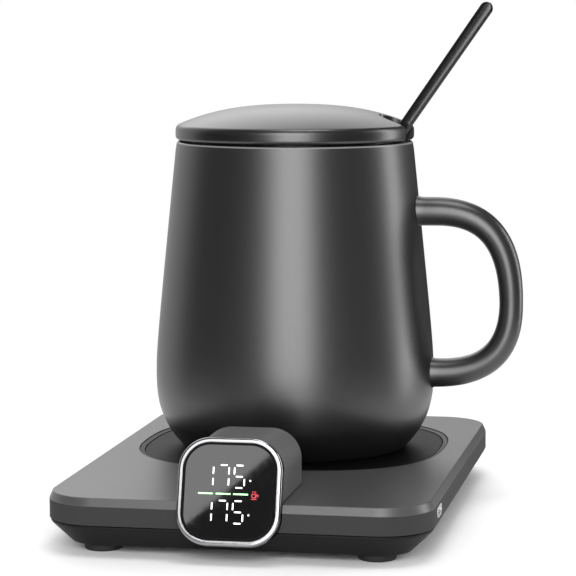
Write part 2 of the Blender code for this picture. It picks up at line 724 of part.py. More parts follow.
boolean(base_top_cover, as_cutter(rods(
    "clamp_boss_bores", CLAMP_PLACES, CLAMP_SHANK_RADIUS + SCREW_GAP,
    CLAMP_TOP - CUT_OVERRUN, CASE_TIP + FIT_GAP, SCREW_STEPS,
)))
boolean(base_top_cover, as_cutter(flat(
    "plate_opening", [squircle(PLATE_OPENING, PLATE_MIDDLE)],
    COVER_UNDERSIDE - CUT_OVERRUN, BASE_HEIGHT + CUT_OVERRUN,
)))
boolean(base_top_cover, pod_mouth)
boolean(base_top_cover, pod_well)
boolean(base_top_cover, inlet_hole)
boolean(base_top_cover, as_cutter(rods(
    "pod_screw_holes", POD_BOSSES, POD_SCREW_RADIUS + SCREW_GAP + FIT_GAP,
    COVER_UNDERSIDE - CUT_OVERRUN, BASE_HEIGHT + CUT_OVERRUN, SCREW_STEPS,
)))


# Base bottom cover: a tray with a slanting flank, a tongue that enters the top cover, screw
# pillars over the feet and posts for the main board


def flank_ring(height, inward):
    """A ring of the slanting flank, at a height and drawn inwards."""
    inset = SHELL_SETBACK + inward + (SHELL_FLANK_TOP - height) * SHELL_FLANK_SLOPE
    return base_ring(inset, height)


flank_wall = SHELL_WALL * math.hypot(1, SHELL_FLANK_SLOPE)
tongue_inner = LIP_SETBACK + SHELL_WALL
tongue_root = SHELL_FLANK_TOP - (tongue_inner - SHELL_SETBACK - flank_wall) / SHELL_FLANK_SLOPE
shell_rings = [
    base_ring(SHELL_SETBACK + SHELL_FLANK_RUN + SHELL_EDGE_RUN, 0),
    flank_ring(SHELL_EDGE_HEIGHT, 0),
    base_ring(SHELL_SETBACK, SHELL_FLANK_TOP),
    base_ring(SHELL_SETBACK, SHELL_TOP), base_ring(LIP_SETBACK, SHELL_TOP),
    base_ring(LIP_SETBACK, SHELL_TOP + LIP_HEIGHT),
    base_ring(tongue_inner, SHELL_TOP + LIP_HEIGHT),
    base_ring(tongue_inner, tongue_root),
    flank_ring(SHELL_WALL, flank_wall),
]
base_bottom_cover = place(loft("base_bottom_cover", shell_rings), SHELL_BLACK, BASE)
SEAT_Z = FOOT_RECESS + PILLAR_FLOOR
HEAD_LOW = SEAT_Z - FIT_GAP - CASE_HEAD_HEIGHT
boolean(base_bottom_cover, as_cutter(rods(
    "foot_pillars", FOOT_PLACES, PILLAR_RADIUS, SHELL_WALL - WELD_OVERLAP, PILLAR_HEIGHT,
)), "UNION")
boolean(base_bottom_cover, as_cutter(rods(
    "board_posts", BOARD_POSTS, BOARD_POST_RADIUS, SHELL_WALL - WELD_OVERLAP,
    BOARD_BOTTOM - FIT_GAP, SCREW_STEPS,
)), "UNION")
boolean(base_bottom_cover, as_cutter(rods(
    "foot_recesses", FOOT_PLACES, FOOT_RADIUS + SCREW_GAP, -CUT_OVERRUN, FOOT_RECESS,
)))
boolean(base_bottom_cover, as_cutter(rods(
    "screw_head_wells", FOOT_PLACES, CASE_HEAD_RADIUS + SCREW_GAP, -CUT_OVERRUN, SEAT_Z,
)))
boolean(base_bottom_cover, as_cutter(rods(
    "screw_shank_holes", FOOT_PLACES, CASE_SHANK_RADIUS + SCREW_GAP, -CUT_OVERRUN,
    PILLAR_HEIGHT + CUT_OVERRUN, SCREW_STEPS,
)))
BOARD_SCREW_TIP = BOARD_TOP + FIT_GAP - BOARD_SCREW_LENGTH
boolean(base_bottom_cover, as_cutter(rods(
    "board_post_bores", BOARD_POSTS[:2], BOARD_POST_HOLE, BOARD_SCREW_TIP - FIT_GAP,
    BOARD_BOTTOM + CUT_OVERRUN, SCREW_STEPS,
)))
boolean(base_bottom_cover, pod_mouth)
boolean(base_bottom_cover, pod_well)
boolean(base_bottom_cover, as_cutter(block(
    "inlet_notch",
    (BOARD_RIGHT - CUT_OVERRUN, INLET_Y - INLET_WIDTH / 2 - FIT_GAP, SHELL_TOP),
    (HALF_WIDTH + CUT_OVERRUN, INLET_Y + INLET_WIDTH / 2 + FIT_GAP, BASE_HEIGHT),
)))


# Feet and case screws

for number, (x, y) in enumerate(FOOT_PLACES, 1):
    foot_top = FOOT_RECESS - FIT_GAP
    foot_low = foot_top - FOOT_HEIGHT
    foot = turned(f"rubber_foot_{number}", [
        (0, foot_top), (FOOT_RADIUS, foot_top), (FOOT_RADIUS, foot_low + FOOT_EDGE),
        (FOOT_RADIUS - FOOT_EDGE, foot_low), (0, foot_low),
    ], steps=20)
    place(foot, RUBBER, BASE, (x, y, 0))
    screw(
        f"case_screw_{number}", (x, y), CASE_HEAD_RADIUS, CASE_HEAD_HEIGHT, CASE_SHANK_RADIUS,
        HEAD_LOW, CASE_TIP,
    )


# Heating plate: an upper face that fills the opening and a flange that lies under the cover

TRIM_OUTER = PLATE_OPENING - SCREW_GAP
TRIM_INNER = TRIM_OUTER - TRIM_WIDTH
PLATE_HALF = TRIM_INNER - SCREW_GAP
FLANGE_HALF = PLATE_OPENING + PLATE_FLANGE
flange_low = PLATE_BOTTOM
flange_top = COVER_UNDERSIDE - FIT_GAP
place(loft("heating_plate", [
    at_height(squircle(half), z) for half, z in (
        (FLANGE_HALF, flange_low), (FLANGE_HALF, flange_top), (PLATE_HALF, flange_top),
        (PLATE_HALF, PLATE_TOP - PLATE_EDGE), (PLATE_HALF - PLATE_EDGE, PLATE_TOP),
    )
]), PLATE_COAT, BASE, (0, PLATE_CENTRE_Y, 0))


# Trim ring: a silicone ring that fills the gap between the plate and the cover

trim_top = BASE_HEIGHT - TRIM_DROP
trim_low = flange_top + FIT_GAP
place(loft("plate_trim_ring", [
    at_height(squircle(half), z) for half, z in (
        (TRIM_INNER, trim_low), (TRIM_OUTER, trim_low), (TRIM_OUTER, trim_top - PLATE_EDGE),
        (TRIM_OUTER - PLATE_EDGE, trim_top), (TRIM_INNER, trim_top - PLATE_EDGE),
    )
], endless=True), TRIM_GREY, BASE, (0, PLATE_CENTRE_Y, 0))


# Heater disc with its solder tab, insulation pad and clamp plate

tab_half = HEATER_TAB_WIDTH / 2
tab_angle = math.asin(tab_half / HEATER_RADIUS)
arc_steps = 40
heater_edge = []
for step in range(arc_steps + 1):
    angle = -math.pi / 2 + tab_angle + (2 * math.pi - 2 * tab_angle) * step / arc_steps
    heater_edge.append((HEATER_RADIUS * math.cos(angle), HEATER_RADIUS * math.sin(angle)))
heater_edge += [(-tab_half, -HEATER_TAB_REACH), (tab_half, -HEATER_TAB_REACH)]
place(flat(
    "heater_disc", [heater_edge, circle(SENSOR_HOLE, count=16)],
    HEATER_BOTTOM, HEATER_BOTTOM + HEATER_THICKNESS,
), FOIL, BASE, (0, PLATE_CENTRE_Y, 0))
place(flat(
    "insulation_pad", [circle(PAD_RADIUS, count=40), circle(SENSOR_HOLE, count=16)],
    PAD_BOTTOM, PAD_BOTTOM + PAD_THICKNESS,
), MICA, BASE, (0, PLATE_CENTRE_Y, 0))
clamp_holes = [circle(CLAMP_CENTRE_HOLE, count=SCREW_STEPS)]
for x, y in CLAMP_PLACES:
    clamp_holes.append(
        circle(CLAMP_SHANK_RADIUS + SCREW_GAP, (x, y - PLATE_CENTRE_Y), SCREW_STEPS)
    )
for turn in range(4):
    angle = math.pi / 4 + turn * math.pi / 2
    spot = (
        CLAMP_WINDOW_PLACE * math.sqrt(2) * math.cos(angle),
        CLAMP_WINDOW_PLACE * math.sqrt(2) * math.sin(angle),
    )
    clamp_holes.append(circle(CLAMP_WINDOW_RADIUS, spot, BORE_STEPS))
place(flat(
    "clamp_plate",
    [rounded_rectangle(CLAMP_HALF_X, CLAMP_HALF_Y, CLAMP_CORNER, 3), *clamp_holes],
    CLAMP_BOTTOM, CLAMP_TOP,
), BARE_STEEL, BASE, (0, PLATE_CENTRE_Y, 0))
for number, spot in enumerate(CLAMP_PLACES, 1):
    screw(
        f"clamp_screw_{number}", spot, CLAMP_HEAD_RADIUS, CLAMP_HEAD_HEIGHT, CLAMP_SHANK_RADIUS,
        CLAMP_BOTTOM - FIT_GAP - CLAMP_HEAD_HEIGHT, CASE_TIP,
    )


# Temperature sensor, thermal fuse and the wires to the board

sensor_top = PLATE_BOTTOM - FIT_GAP
stem_low = CLAMP_BOTTOM - SENSOR_STEM_LENGTH
sensor_low = CLAMP_TOP + FIT_GAP
place(turned("temperature_sensor", [
    (0, sensor_top), (SENSOR_RADIUS - FIT_GAP, sensor_top), (SENSOR_RADIUS, sensor_top - FIT_GAP),
    (SENSOR_RADIUS, sensor_low), (SENSOR_STEM_RADIUS, sensor_low), (SENSOR_STEM_RADIUS, stem_low),
    (0, stem_low),
], steps=16), BLACK_CHIP, BASE, (0, PLATE_CENTRE_Y, 0))

FUSE_Z = CLAMP_BOTTOM - FIT_GAP - FUSE_RADIUS
half_body = FUSE_LENGTH / 2
half_fuse = half_body + FUSE_LEAD_LENGTH
fuse = turned("thermal_fuse", [
    (0, half_fuse), (FUSE_LEAD_RADIUS, half_fuse), (FUSE_LEAD_RADIUS, half_body),
    (FUSE_RADIUS, half_body), (FUSE_RADIUS, -half_body), (FUSE_LEAD_RADIUS, -half_body),
    (FUSE_LEAD_RADIUS, -half_fuse), (0, -half_fuse),
], steps=SCREW_STEPS)
place(fuse, WHITE_PLASTIC, BASE, (FUSE_X, FUSE_Y, FUSE_Z))
fuse.rotation_euler = (math.pi / 2, 0, 0)

connector_back = BOARD_BACK - BOARD_EDGE_ROOM
wire_end_y = connector_back + FIT_GAP
wire_end_z = PART_SEAT + CONNECTOR_HEIGHT / 2
tab_z = HEATER_BOTTOM - FIT_GAP - WIRE_RADIUS
tab_y = PLATE_CENTRE_Y - (HEATER_RADIUS + HEATER_TAB_REACH) / 2 - WIRE_RADIUS
run_z = (SHELL_WALL + CLAMP_BOTTOM) / 2
fuse_front_y = FUSE_Y - half_fuse - FIT_GAP
fuse_back_y = FUSE_Y + half_fuse + FIT_GAP
loop = HEATER_TAB_WIDTH / 3
approach = wire_end_y + (tab_y - wire_end_y) / 3


def wire(name, knots, radius, stuff):
    return place(baked(tube(name, smooth_path(knots), radius)), stuff, BASE)


wire("heater_wire_return", [
    (-FUSE_X, tab_y, tab_z), (-FUSE_X, (tab_y + approach) / 2, tab_z),
    (-FUSE_X, approach, wire_end_z), (-FUSE_X, wire_end_y, wire_end_z),
], WIRE_RADIUS, WHITE_WIRE)
wire("heater_wire_tab", [
    (FUSE_X, tab_y, tab_z), (FUSE_X, tab_y - WIRE_RADIUS * 3, (tab_z + run_z) / 2),
    (FUSE_X, tab_y + WIRE_RADIUS, run_z), (FUSE_X, (tab_y + fuse_front_y) / 2, FUSE_Z),
    (FUSE_X, fuse_front_y, FUSE_Z),
], WIRE_RADIUS, RED_WIRE)
wire("heater_wire_fused", [
    (FUSE_X, fuse_back_y, FUSE_Z), (FUSE_X, fuse_back_y + 2 * WIRE_RADIUS, FUSE_Z),
    (FUSE_X + loop / 2, fuse_back_y + loop, run_z),
    (FUSE_X + 3 * loop / 2, fuse_back_y + loop / 2, run_z),
    (FUSE_X + 2 * loop, fuse_back_y - loop, run_z), (FUSE_X + 2 * loop, FUSE_Y - loop, run_z),
    (FUSE_X + 3 * loop / 2, tab_y, run_z), (FUSE_X + loop, approach, wire_end_z),
    (FUSE_X + loop, wire_end_y, wire_end_z),
], WIRE_RADIUS, RED_WIRE)
lead_pitch = 2 * SENSOR_WIRE_RADIUS + FIT_GAP * 2
for number, side in enumerate((-1, 1), 1):
    offset = side * lead_pitch / 2
    out_x = WIRE_CONNECTOR_LEFT + 2 * lead_pitch + offset
    wire(f"sensor_wire_{number}", [
        (offset, PLATE_CENTRE_Y, stem_low - FIT_GAP - SENSOR_WIRE_RADIUS),
        (offset - lead_pitch, PLATE_CENTRE_Y - loop, run_z),
        (out_x, PLATE_CENTRE_Y - 4 * loop, run_z), (out_x, tab_y, run_z),
        (out_x, approach, wire_end_z), (out_x, wire_end_y, wire_end_z),
    ], SENSOR_WIRE_RADIUS, WHITE_WIRE)


# Main board with its screws and components

board_edge = [
    (BOARD_LEFT, BOARD_FRONT), (BOARD_STEP_X, BOARD_FRONT), (BOARD_STEP_X, BOARD_STEP_Y),
    (BOARD_RIGHT, BOARD_STEP_Y), (BOARD_RIGHT, BOARD_BACK), (BOARD_LEFT, BOARD_BACK),
]
board_holes = [circle(BOARD_SCREW_HOLE, spot, SCREW_STEPS) for spot in BOARD_POSTS[:2]]
place(flat("main_board", [board_edge, *board_holes], BOARD_BOTTOM, BOARD_TOP), BOARD_GREEN, BASE)
for number, spot in enumerate(BOARD_POSTS[:2], 1):
    screw(
        f"board_screw_{number}", spot, BOARD_SCREW_HEAD_RADIUS, BOARD_SCREW_HEAD_HEIGHT,
        BOARD_SCREW_RADIUS, PART_SEAT, BOARD_SCREW_TIP, up=False,
    )


def component(name, middle, size, height, stuff):
    half = size / 2
    low = (middle.x - half, middle.y - half, PART_SEAT)
    high = (middle.x + half, middle.y + half, PART_SEAT + height)
    return place(block(name, low, high, COMPONENT_BEVEL), stuff, BASE)


component("inductor", INDUCTOR_PLACE, INDUCTOR_SIZE, INDUCTOR_HEIGHT, BLACK_CHIP)
component("control_chip", CHIP_PLACE, CHIP_SIZE, CHIP_HEIGHT, BLACK_CHIP)
component(
    "power_transistor", TRANSISTOR_PLACE, TRANSISTOR_SIZE, TRANSISTOR_HEIGHT, BLACK_CHIP
)
can_top = PART_SEAT + CAPACITOR_HEIGHT
place(turned("capacitor", [
    (0, can_top), (CAPACITOR_RADIUS - COMPONENT_BEVEL, can_top),
    (CAPACITOR_RADIUS, can_top - COMPONENT_BEVEL), (CAPACITOR_RADIUS, PART_SEAT), (0, PART_SEAT),
], steps=20), BARE_STEEL, BASE, CAPACITOR_PLACE)
buzzer_top = PART_SEAT + BUZZER_HEIGHT
place(turned("buzzer", [
    (0, PART_SEAT + COMPONENT_BEVEL), (BUZZER_HOLE, PART_SEAT + COMPONENT_BEVEL),
    (BUZZER_HOLE, buzzer_top), (BUZZER_RADIUS, buzzer_top), (BUZZER_RADIUS, PART_SEAT),
    (0, PART_SEAT),
], steps=20), BLACK_CHIP, BASE, BUZZER_PLACE)
place(block(
    "wire_connector", (WIRE_CONNECTOR_LEFT, connector_back - CONNECTOR_DEPTH, PART_SEAT),
    (WIRE_CONNECTOR_RIGHT, connector_back, PART_SEAT + CONNECTOR_HEIGHT), COMPONENT_BEVEL,
), WHITE_PLASTIC, BASE)
place(block(
    "display_connector", (-CABLE_CONNECTOR_HALF, CABLE_CONNECTOR_Y, PART_SEAT),
    (CABLE_CONNECTOR_HALF, CABLE_CONNECTOR_Y + CONNECTOR_DEPTH, PART_SEAT + CONNECTOR_HEIGHT),
    COMPONENT_BEVEL,
), WHITE_PLASTIC, BASE)


# Power inlet: a drawn metal shell, open at the mouth, round a contact tongue

INLET_REAR = INLET_MOUTH - INLET_LENGTH
inlet_shell = place(sideways(flat(
    "inlet_shell", [inlet_outline(INLET_WIDTH, INLET_HEIGHT)], INLET_REAR, INLET_MOUTH,
)), BARE_STEEL, BASE)
boolean(inlet_shell, as_cutter(sideways(flat(
    "inlet_bore", [inlet_outline(INLET_WIDTH - 2 * INLET_WALL, INLET_HEIGHT - 2 * INLET_WALL)],
    INLET_REAR + INLET_BACK, INLET_MOUTH + CUT_OVERRUN,
))))
place(sideways(flat(
    "inlet_tongue",
    [rounded_rectangle(
        TONGUE_WIDTH / 2, TONGUE_THICKNESS / 2, TONGUE_THICKNESS / 4, 2, (INLET_Y, INLET_Z)
    )],
    INLET_REAR + INLET_BACK + FIT_GAP, INLET_MOUTH - TONGUE_RECESS,
)), BLACK_CHIP, BASE)


# Pod case: a rounded square tube, closed at the back. Its front skirt passes through the mouth in
# the base's front wall, and the rest stands on the top cover


def face_plane_y(z, behind):
    """The Y of the plane that lies a distance behind the tilted face, at a height."""
    return FACE_Y + (z - FACE_Z) * math.tan(POD_TILT) + behind / math.cos(POD_TILT)


case_rings = along_y(pod_outline(POD_EDGE), POD_BACK_Y)
case_rings += along_y(pod_outline(0), POD_BACK_Y - POD_EDGE)
for inset in (0, POD_WALL):
    case_rings.append([
        Vector((x, face_plane_y(z, BEZEL_DEPTH + FIT_GAP), z)) for x, z in pod_outline(inset)
    ])
case_rings += along_y(pod_outline(POD_WALL), POD_BACK_Y - POD_WALL)
pod_case = place(loft("pod_case", case_rings), COVER_GREY, BASE)
boolean(pod_case, as_cutter(rods(
    "pod_bosses", POD_BOSSES, POD_BOSS_RADIUS, COVER_UNDERSIDE, POD_BOSS_TOP, SCREW_STEPS,
)), "UNION")
boolean(pod_case, as_cutter(block(
    "base_form", (-HALF_WIDTH, POD_SKIRT_BACK, -BASE_HEIGHT),
    (HALF_WIDTH, HALF_DEPTH, BASE_HEIGHT + FIT_GAP),
)))
boolean(pod_case, as_cutter(rods(
    "pod_boss_bores", POD_BOSSES, POD_SCREW_RADIUS + SCREW_GAP, COVER_UNDERSIDE,
    BASE_HEIGHT + POD_SCREW_REACH + FIT_GAP, SCREW_STEPS,
)))
for number, spot in enumerate(POD_BOSSES, 1):
    screw(
        f"pod_screw_{number}", spot, POD_SCREW_HEAD_RADIUS, POD_SCREW_HEAD_HEIGHT,
        POD_SCREW_RADIUS, COVER_UNDERSIDE - FIT_GAP - POD_SCREW_HEAD_HEIGHT,
        BASE_HEIGHT + POD_SCREW_REACH,
    )


# Bezel: a polished frame with a rounded front and a ledge that holds the lens

bezel_profile = [
    (0, -BEZEL_DEPTH), (0, -BEZEL_ROUND), (BEZEL_ROUND * 0.3, -BEZEL_ROUND * 0.3),
    (BEZEL_RIM / 2, 0), (BEZEL_RIM - BEZEL_ROUND * 0.3, -BEZEL_ROUND * 0.2),
    (BEZEL_RIM, -BEZEL_ROUND * 0.7), (BEZEL_RIM, LENS_BACK - FIT_GAP),
    (BEZEL_LEDGE, LENS_BACK - FIT_GAP), (BEZEL_LEDGE, -BEZEL_DEPTH),
]
place(loft("pod_bezel", [
    at_height(rounded_rectangle(
        BEZEL_HALF_X - inset, BEZEL_HALF_Y - inset, BEZEL_CORNER - inset
    ), z)
    for inset, z in bezel_profile
], endless=True), CHROME, FACE)


def face_outline(inset, steps=CORNER_STEPS):
    return rounded_rectangle(BEZEL_HALF_X - inset, BEZEL_HALF_Y - inset, BEZEL_CORNER - inset, steps)


# Display: lens, light box with a window for each digit, and the board behind it

place(flat(
    "display_lens", [face_outline(BEZEL_RIM + LENS_GAP)], LENS_BACK, -LENS_RECESS
), BLACK_GLASS, FACE)
light_middle = (0, (LIGHT_BOX_LOW + LIGHT_BOX_HIGH) / 2)
light_half_y = (LIGHT_BOX_HIGH - LIGHT_BOX_LOW) / 2
windows = []
for row in (-1, 1):
    for column in range(3):
        middle = ((column - 0.5) * DIGIT_PITCH, light_middle[1] + row * DIGIT_ROW_OFFSET)
        windows.append(rounded_rectangle(DIGIT_WIDTH / 2, DIGIT_HEIGHT / 2, 0, 1, middle)[::2])
windows.append(
    rounded_rectangle(DIGIT_PITCH, LIGHT_BAR_HEIGHT / 2, 0, 1, light_middle)[::2]
)
place(flat(
    "display_light_box",
    [rounded_rectangle(LIGHT_BOX_HALF_X, light_half_y, LIGHT_BOX_CORNER, 3, light_middle), *windows],
    LIGHT_BOX_REAR, LIGHT_BOX_FRONT,
), WHITE_PLASTIC, FACE)
place(flat(
    "display_board",
    [rounded_rectangle(
        LIGHT_BOX_HALF_X + DISPLAY_BOARD_MARGIN, light_half_y + DISPLAY_BOARD_MARGIN,
        LIGHT_BOX_CORNER, 3, light_middle,
    )],
    DISPLAY_BOARD_REAR, DISPLAY_BOARD_FRONT,
), BOARD_GREEN, FACE)


# Display cable: a flat ribbon from the back of the display board to its connector

to_world = Matrix.Translation((0, FACE_Y, FACE_Z)) @ Matrix.Rotation(
    math.pi / 2 - POD_TILT, 4, "X"
)
start = to_world @ Vector((0, 0, DISPLAY_BOARD_REAR - FIT_GAP - CABLE_THICKNESS))
finish = Vector((0, CABLE_CONNECTOR_Y - FIT_GAP, wire_end_z))
drop = start.z - finish.z
run = finish.y - start.y
cable_knots = [
    start, start + Vector((0, run * 0.3, -drop * 0.05)), start + Vector((0, run * 0.5, -drop * 0.35)),
    start + Vector((0, run * 0.6, -drop * 0.7)), start + Vector((0, run * 0.8, -drop * 0.95)), finish,
]
path = smooth_path(cable_knots, 3)
cable = bmesh.new()
left = [cable.verts.new((-CABLE_HALF_WIDTH, p.y, p.z)) for p in path]
right = [cable.verts.new((CABLE_HALF_WIDTH, p.y, p.z)) for p in path]
for step in range(len(path) - 1):
    cable.faces.new((left[step], right[step], right[step + 1], left[step + 1]))
cable_mesh = bpy.data.meshes.new("display_cable")
cable.to_mesh(cable_mesh)
cable.free()
smooth(cable_mesh)
display_cable = place(bpy.data.objects.new("display_cable", cable_mesh), WHITE_WIRE, BASE)
ribbon = display_cable.modifiers.new("ribbon", "SOLIDIFY")
ribbon.thickness = CABLE_THICKNESS
ribbon.offset = 0


# Mug body: one turned wall with a flat ground foot, a round belly and a straight taper to the rim


def mug_radius(height):
    """The mug's outer radius at a height above its foot."""
    if height < MUG_BELLY_HEIGHT:
        share = 1 - height / MUG_BELLY_HEIGHT
        return MUG_BELLY_RADIUS - (MUG_BELLY_RADIUS - MUG_FOOT_RADIUS) * share**MUG_BELLY_POWER
    above = height - MUG_BELLY_HEIGHT
    return MUG_BELLY_RADIUS - MUG_TAPER * (math.hypot(above, MUG_TAPER_BLEND) - MUG_TAPER_BLEND)


def mug_inner_radius(height):
    if height >= MUG_BELLY_HEIGHT:
        return mug_radius(height) - MUG_WALL
    share = (MUG_BELLY_HEIGHT - height) / (MUG_BELLY_HEIGHT - MUG_FLOOR)
    return MUG_BELLY_RADIUS - MUG_WALL - MUG_FLOOR_CORNER * share**MUG_FLOOR_POWER


belly_shares = (0.7, 0.46, 0.28, 0.13)
wall_shares = (0.14, 0.4)
floor_shares = (1, 0.86, 0.6, 0)


def wall_heights(shares):
    return [MUG_BELLY_HEIGHT + (MUG_HEIGHT - MUG_BELLY_HEIGHT) * share for share in shares]


outer_heights = wall_heights(reversed(wall_shares))
outer_heights += [MUG_BELLY_HEIGHT] + [MUG_BELLY_HEIGHT * share for share in belly_shares]
inner_heights = [
    MUG_BELLY_HEIGHT - (MUG_BELLY_HEIGHT - MUG_FLOOR) * share for share in floor_shares
]
inner_heights += wall_heights(wall_shares)
lip_outer = mug_radius(MUG_HEIGHT)
lip_inner = lip_outer - MUG_WALL
mug_profile = [(0, MUG_FLOOR)]
mug_profile += [(mug_inner_radius(height), height) for height in inner_heights]
mug_profile += [
    (lip_inner, MUG_HEIGHT - LIP_INNER_ROUND),
    (lip_inner + LIP_INNER_ROUND * 0.3, MUG_HEIGHT - LIP_INNER_ROUND * 0.3),
    (lip_inner + LIP_INNER_ROUND, MUG_HEIGHT),
    (lip_outer - LIP_OUTER_ROUND, MUG_HEIGHT),
    (lip_outer - LIP_OUTER_ROUND * 0.3, MUG_HEIGHT - LIP_OUTER_ROUND * 0.3),
    (lip_outer, MUG_HEIGHT - LIP_OUTER_ROUND),
]
mug_profile += [(mug_radius(height), height) for height in outer_heights]
mug_profile += [
    (mug_radius(MUG_FOOT_EDGE), MUG_FOOT_EDGE), (MUG_FOOT_RADIUS - MUG_FOOT_EDGE, 0), (0, 0)
]
place(turned("mug_body", mug_profile), GLAZE, MUG)


# Mug handle: a loop of round section, thinner at its far side, shaped to the mug at both ends

handle_curve = bpy.data.curves.new("mug_handle", "CURVE")
handle_curve.dimensions = "3D"
handle_curve.bevel_depth = HANDLE_END_RADIUS
handle_curve.bevel_resolution = 5
handle_curve.resolution_u = 6
handle_curve.use_fill_caps = True
handle_curve.twist_mode = "MINIMUM"
handle_stations = (
    (HANDLE_ROOT, HANDLE_TOP_HEIGHT, 0, 1),
    (HANDLE_TOP_STRAIGHT, HANDLE_TOP_HEIGHT, 0, 1),
    (HANDLE_REACH, HANDLE_SIDE_HEIGHT, 90, HANDLE_MIDDLE_RADIUS / HANDLE_END_RADIUS),
    (HANDLE_LOW_STRAIGHT, HANDLE_LOW_HEIGHT, 180, 1),
    (HANDLE_ROOT, HANDLE_LOW_HEIGHT, 180, 1),
)
spline = handle_curve.splines.new("BEZIER")
spline.bezier_points.add(len(handle_stations) - 1)
for index, (x, z, heading, thickness) in enumerate(handle_stations):
    point = spline.bezier_points[index]
    point.co = (x, 0, z)
    point.radius = thickness
    point.handle_left_type = "FREE"
    point.handle_right_type = "FREE"
    direction = Vector((math.cos(math.radians(heading)), 0, -math.sin(math.radians(heading))))
    before = handle_stations[max(index - 1, 0)]
    after = handle_stations[min(index + 1, len(handle_stations) - 1)]
    bend = HANDLE_BEND_SHARE if heading == 90 or index in (1, 3) else 1 / 3
    back = max(abs(x - before[0]), 0) if heading != 90 else abs(z - before[1])
    ahead = max(abs(x - after[0]), 0) if heading != 90 else abs(z - after[1])
    point.handle_left = point.co - direction * back * (1 / 3 if index == 1 else bend)
    point.handle_right = point.co + direction * ahead * (1 / 3 if index == 3 else bend)
mug_handle = place(baked(bpy.data.objects.new("mug_handle", handle_curve)), GLAZE, MUG)
mug_form = as_cutter(turned("mug_form", [(0, MUG_HEIGHT)] + [
    (mug_radius(height) + FIT_GAP, height) for height in [MUG_HEIGHT, *outer_heights, 0]
] + [(0, 0)]))
mug_form.parent = MUG
boolean(mug_handle, mug_form)


# Lid: a turned dome with a plug that enters the mug, and a notch for the spoon


def dome_height(radius):
    share = radius / LID_SHOULDER_RADIUS
    return LID_SHOULDER_HEIGHT + (LID_HEIGHT - LID_SHOULDER_HEIGHT) * (1 - share**LID_DOME_POWER)


def dome_points(shares, below=0):
    return [
        (LID_SHOULDER_RADIUS * share, dome_height(LID_SHOULDER_RADIUS * share) - below)
        for share in shares
    ]


side_round = LID_RADIUS - LID_SHOULDER_RADIUS
plug_inner = PLUG_RADIUS - PLUG_WALL
plug_lip = PLUG_RADIUS - PLUG_LIP_SETBACK
groove_floor = PLUG_RADIUS - SEAL_GROOVE_DEPTH
groove_low = PLUG_LIP_HEIGHT - PLUG_DEPTH
lid_profile = dome_points((0, 0.34, 0.6, 0.8, 0.92, 1))
lid_profile += [
    (LID_RADIUS - side_round * 0.3, LID_SIDE_HIGH + side_round * 0.8),
    (LID_RADIUS, LID_SIDE_HIGH), (LID_RADIUS, LID_SIDE_LOW),
    (LID_RADIUS - LID_FOOT_ROUND, LID_GAP + LID_FOOT_ROUND), (LID_FOOT_RADIUS, LID_GAP),
    (PLUG_RADIUS, LID_GAP), (PLUG_RADIUS, -SEAL_GROOVE_TOP), (groove_floor, -SEAL_GROOVE_TOP),
    (groove_floor, groove_low), (plug_lip, groove_low), (plug_lip, -PLUG_DEPTH),
    (plug_inner, -PLUG_DEPTH), (plug_inner, LID_SIDE_LOW),
]
lid_profile += dome_points((0.74, 0), LID_THICKNESS)
lid_body = place(turned("lid_body", lid_profile), GLAZE, LID)


def spoon_notch(name, extra):
    """A prism from the notch's round inner end out past the lid's edge."""
    half = NOTCH_WIDTH / 2 + extra
    middle = NOTCH_INNER + NOTCH_WIDTH / 2
    outline = [(LID_RADIUS + CUT_OVERRUN, -half), (LID_RADIUS + CUT_OVERRUN, half)]
    for step in range(9):
        angle = math.pi / 2 + math.pi * step / 8
        outline.append((middle + half * math.cos(angle), half * math.sin(angle)))
    made = as_cutter(flat(
        name, [outline], -PLUG_DEPTH - CUT_OVERRUN, LID_HEIGHT + CUT_OVERRUN
    ))
    made.parent = LID
    made.rotation_euler = (0, 0, NOTCH_AZIMUTH)
    return made


boolean(lid_body, spoon_notch("lid_notch", 0))


# Lid seal: a soft ring with two fins in the plug's groove, open at the notch

seal_inner = groove_floor + FIT_GAP
seal_outer = lip_inner - FIT_GAP
seal_web = seal_outer - SEAL_FIN
seal_top = -SEAL_GROOVE_TOP - FIT_GAP
seal_low = groove_low + FIT_GAP
fin_height = (seal_top - seal_low) * SEAL_FIN_SHARE
lid_seal = place(turned("lid_seal", [
    (seal_web, seal_top), (seal_outer, seal_top - fin_height / 2),
    (seal_web, seal_top - fin_height), (seal_web, seal_low + fin_height),
    (seal_outer, seal_low + fin_height / 2), (seal_web, seal_low),
    (seal_inner, seal_low), (seal_inner, seal_top),
], closed=True, steps=28), TRIM_GREY, LID)
boolean(lid_seal, spoon_notch("seal_notch", SEAL_FIN))


# Spoon: a dished bowl that narrows into a flat bar, lofted along its length

tip_height = MUG_FLOOR + SPOON_TIP_LIFT
tip_reach = MUG_WALL + SPOON_TIP_ROOM - MUG_BELLY_RADIUS
spoon_lean = math.atan2(SPOON_AT_RIM - tip_reach, MUG_HEIGHT - tip_height)
SPOON = empty("spoon_axis", (
    tip_reach * math.cos(NOTCH_AZIMUTH) - SPOON_OFFSET * math.sin(NOTCH_AZIMUTH),
    tip_reach * math.sin(NOTCH_AZIMUTH) + SPOON_OFFSET * math.cos(NOTCH_AZIMUTH),
    tip_height,
), MUG)
SPOON.rotation_euler = (0, spoon_lean, NOTCH_AZIMUTH)


def spoon_ring(station, half_width, thickness, dish):
    """A closed section: across its back from right to left, then across its front."""
    ring = []
    for side in (1, -1):
        for across in (1, 0.72, 0.36, 0, -0.36, -0.72, -1):
            share = across * side
            edge = 0.55 if abs(share) == 1 else 1
            y = dish * (1 - share**2) + side * thickness / 2 * edge
            ring.append(Vector((half_width * share, y, station)))
    return ring


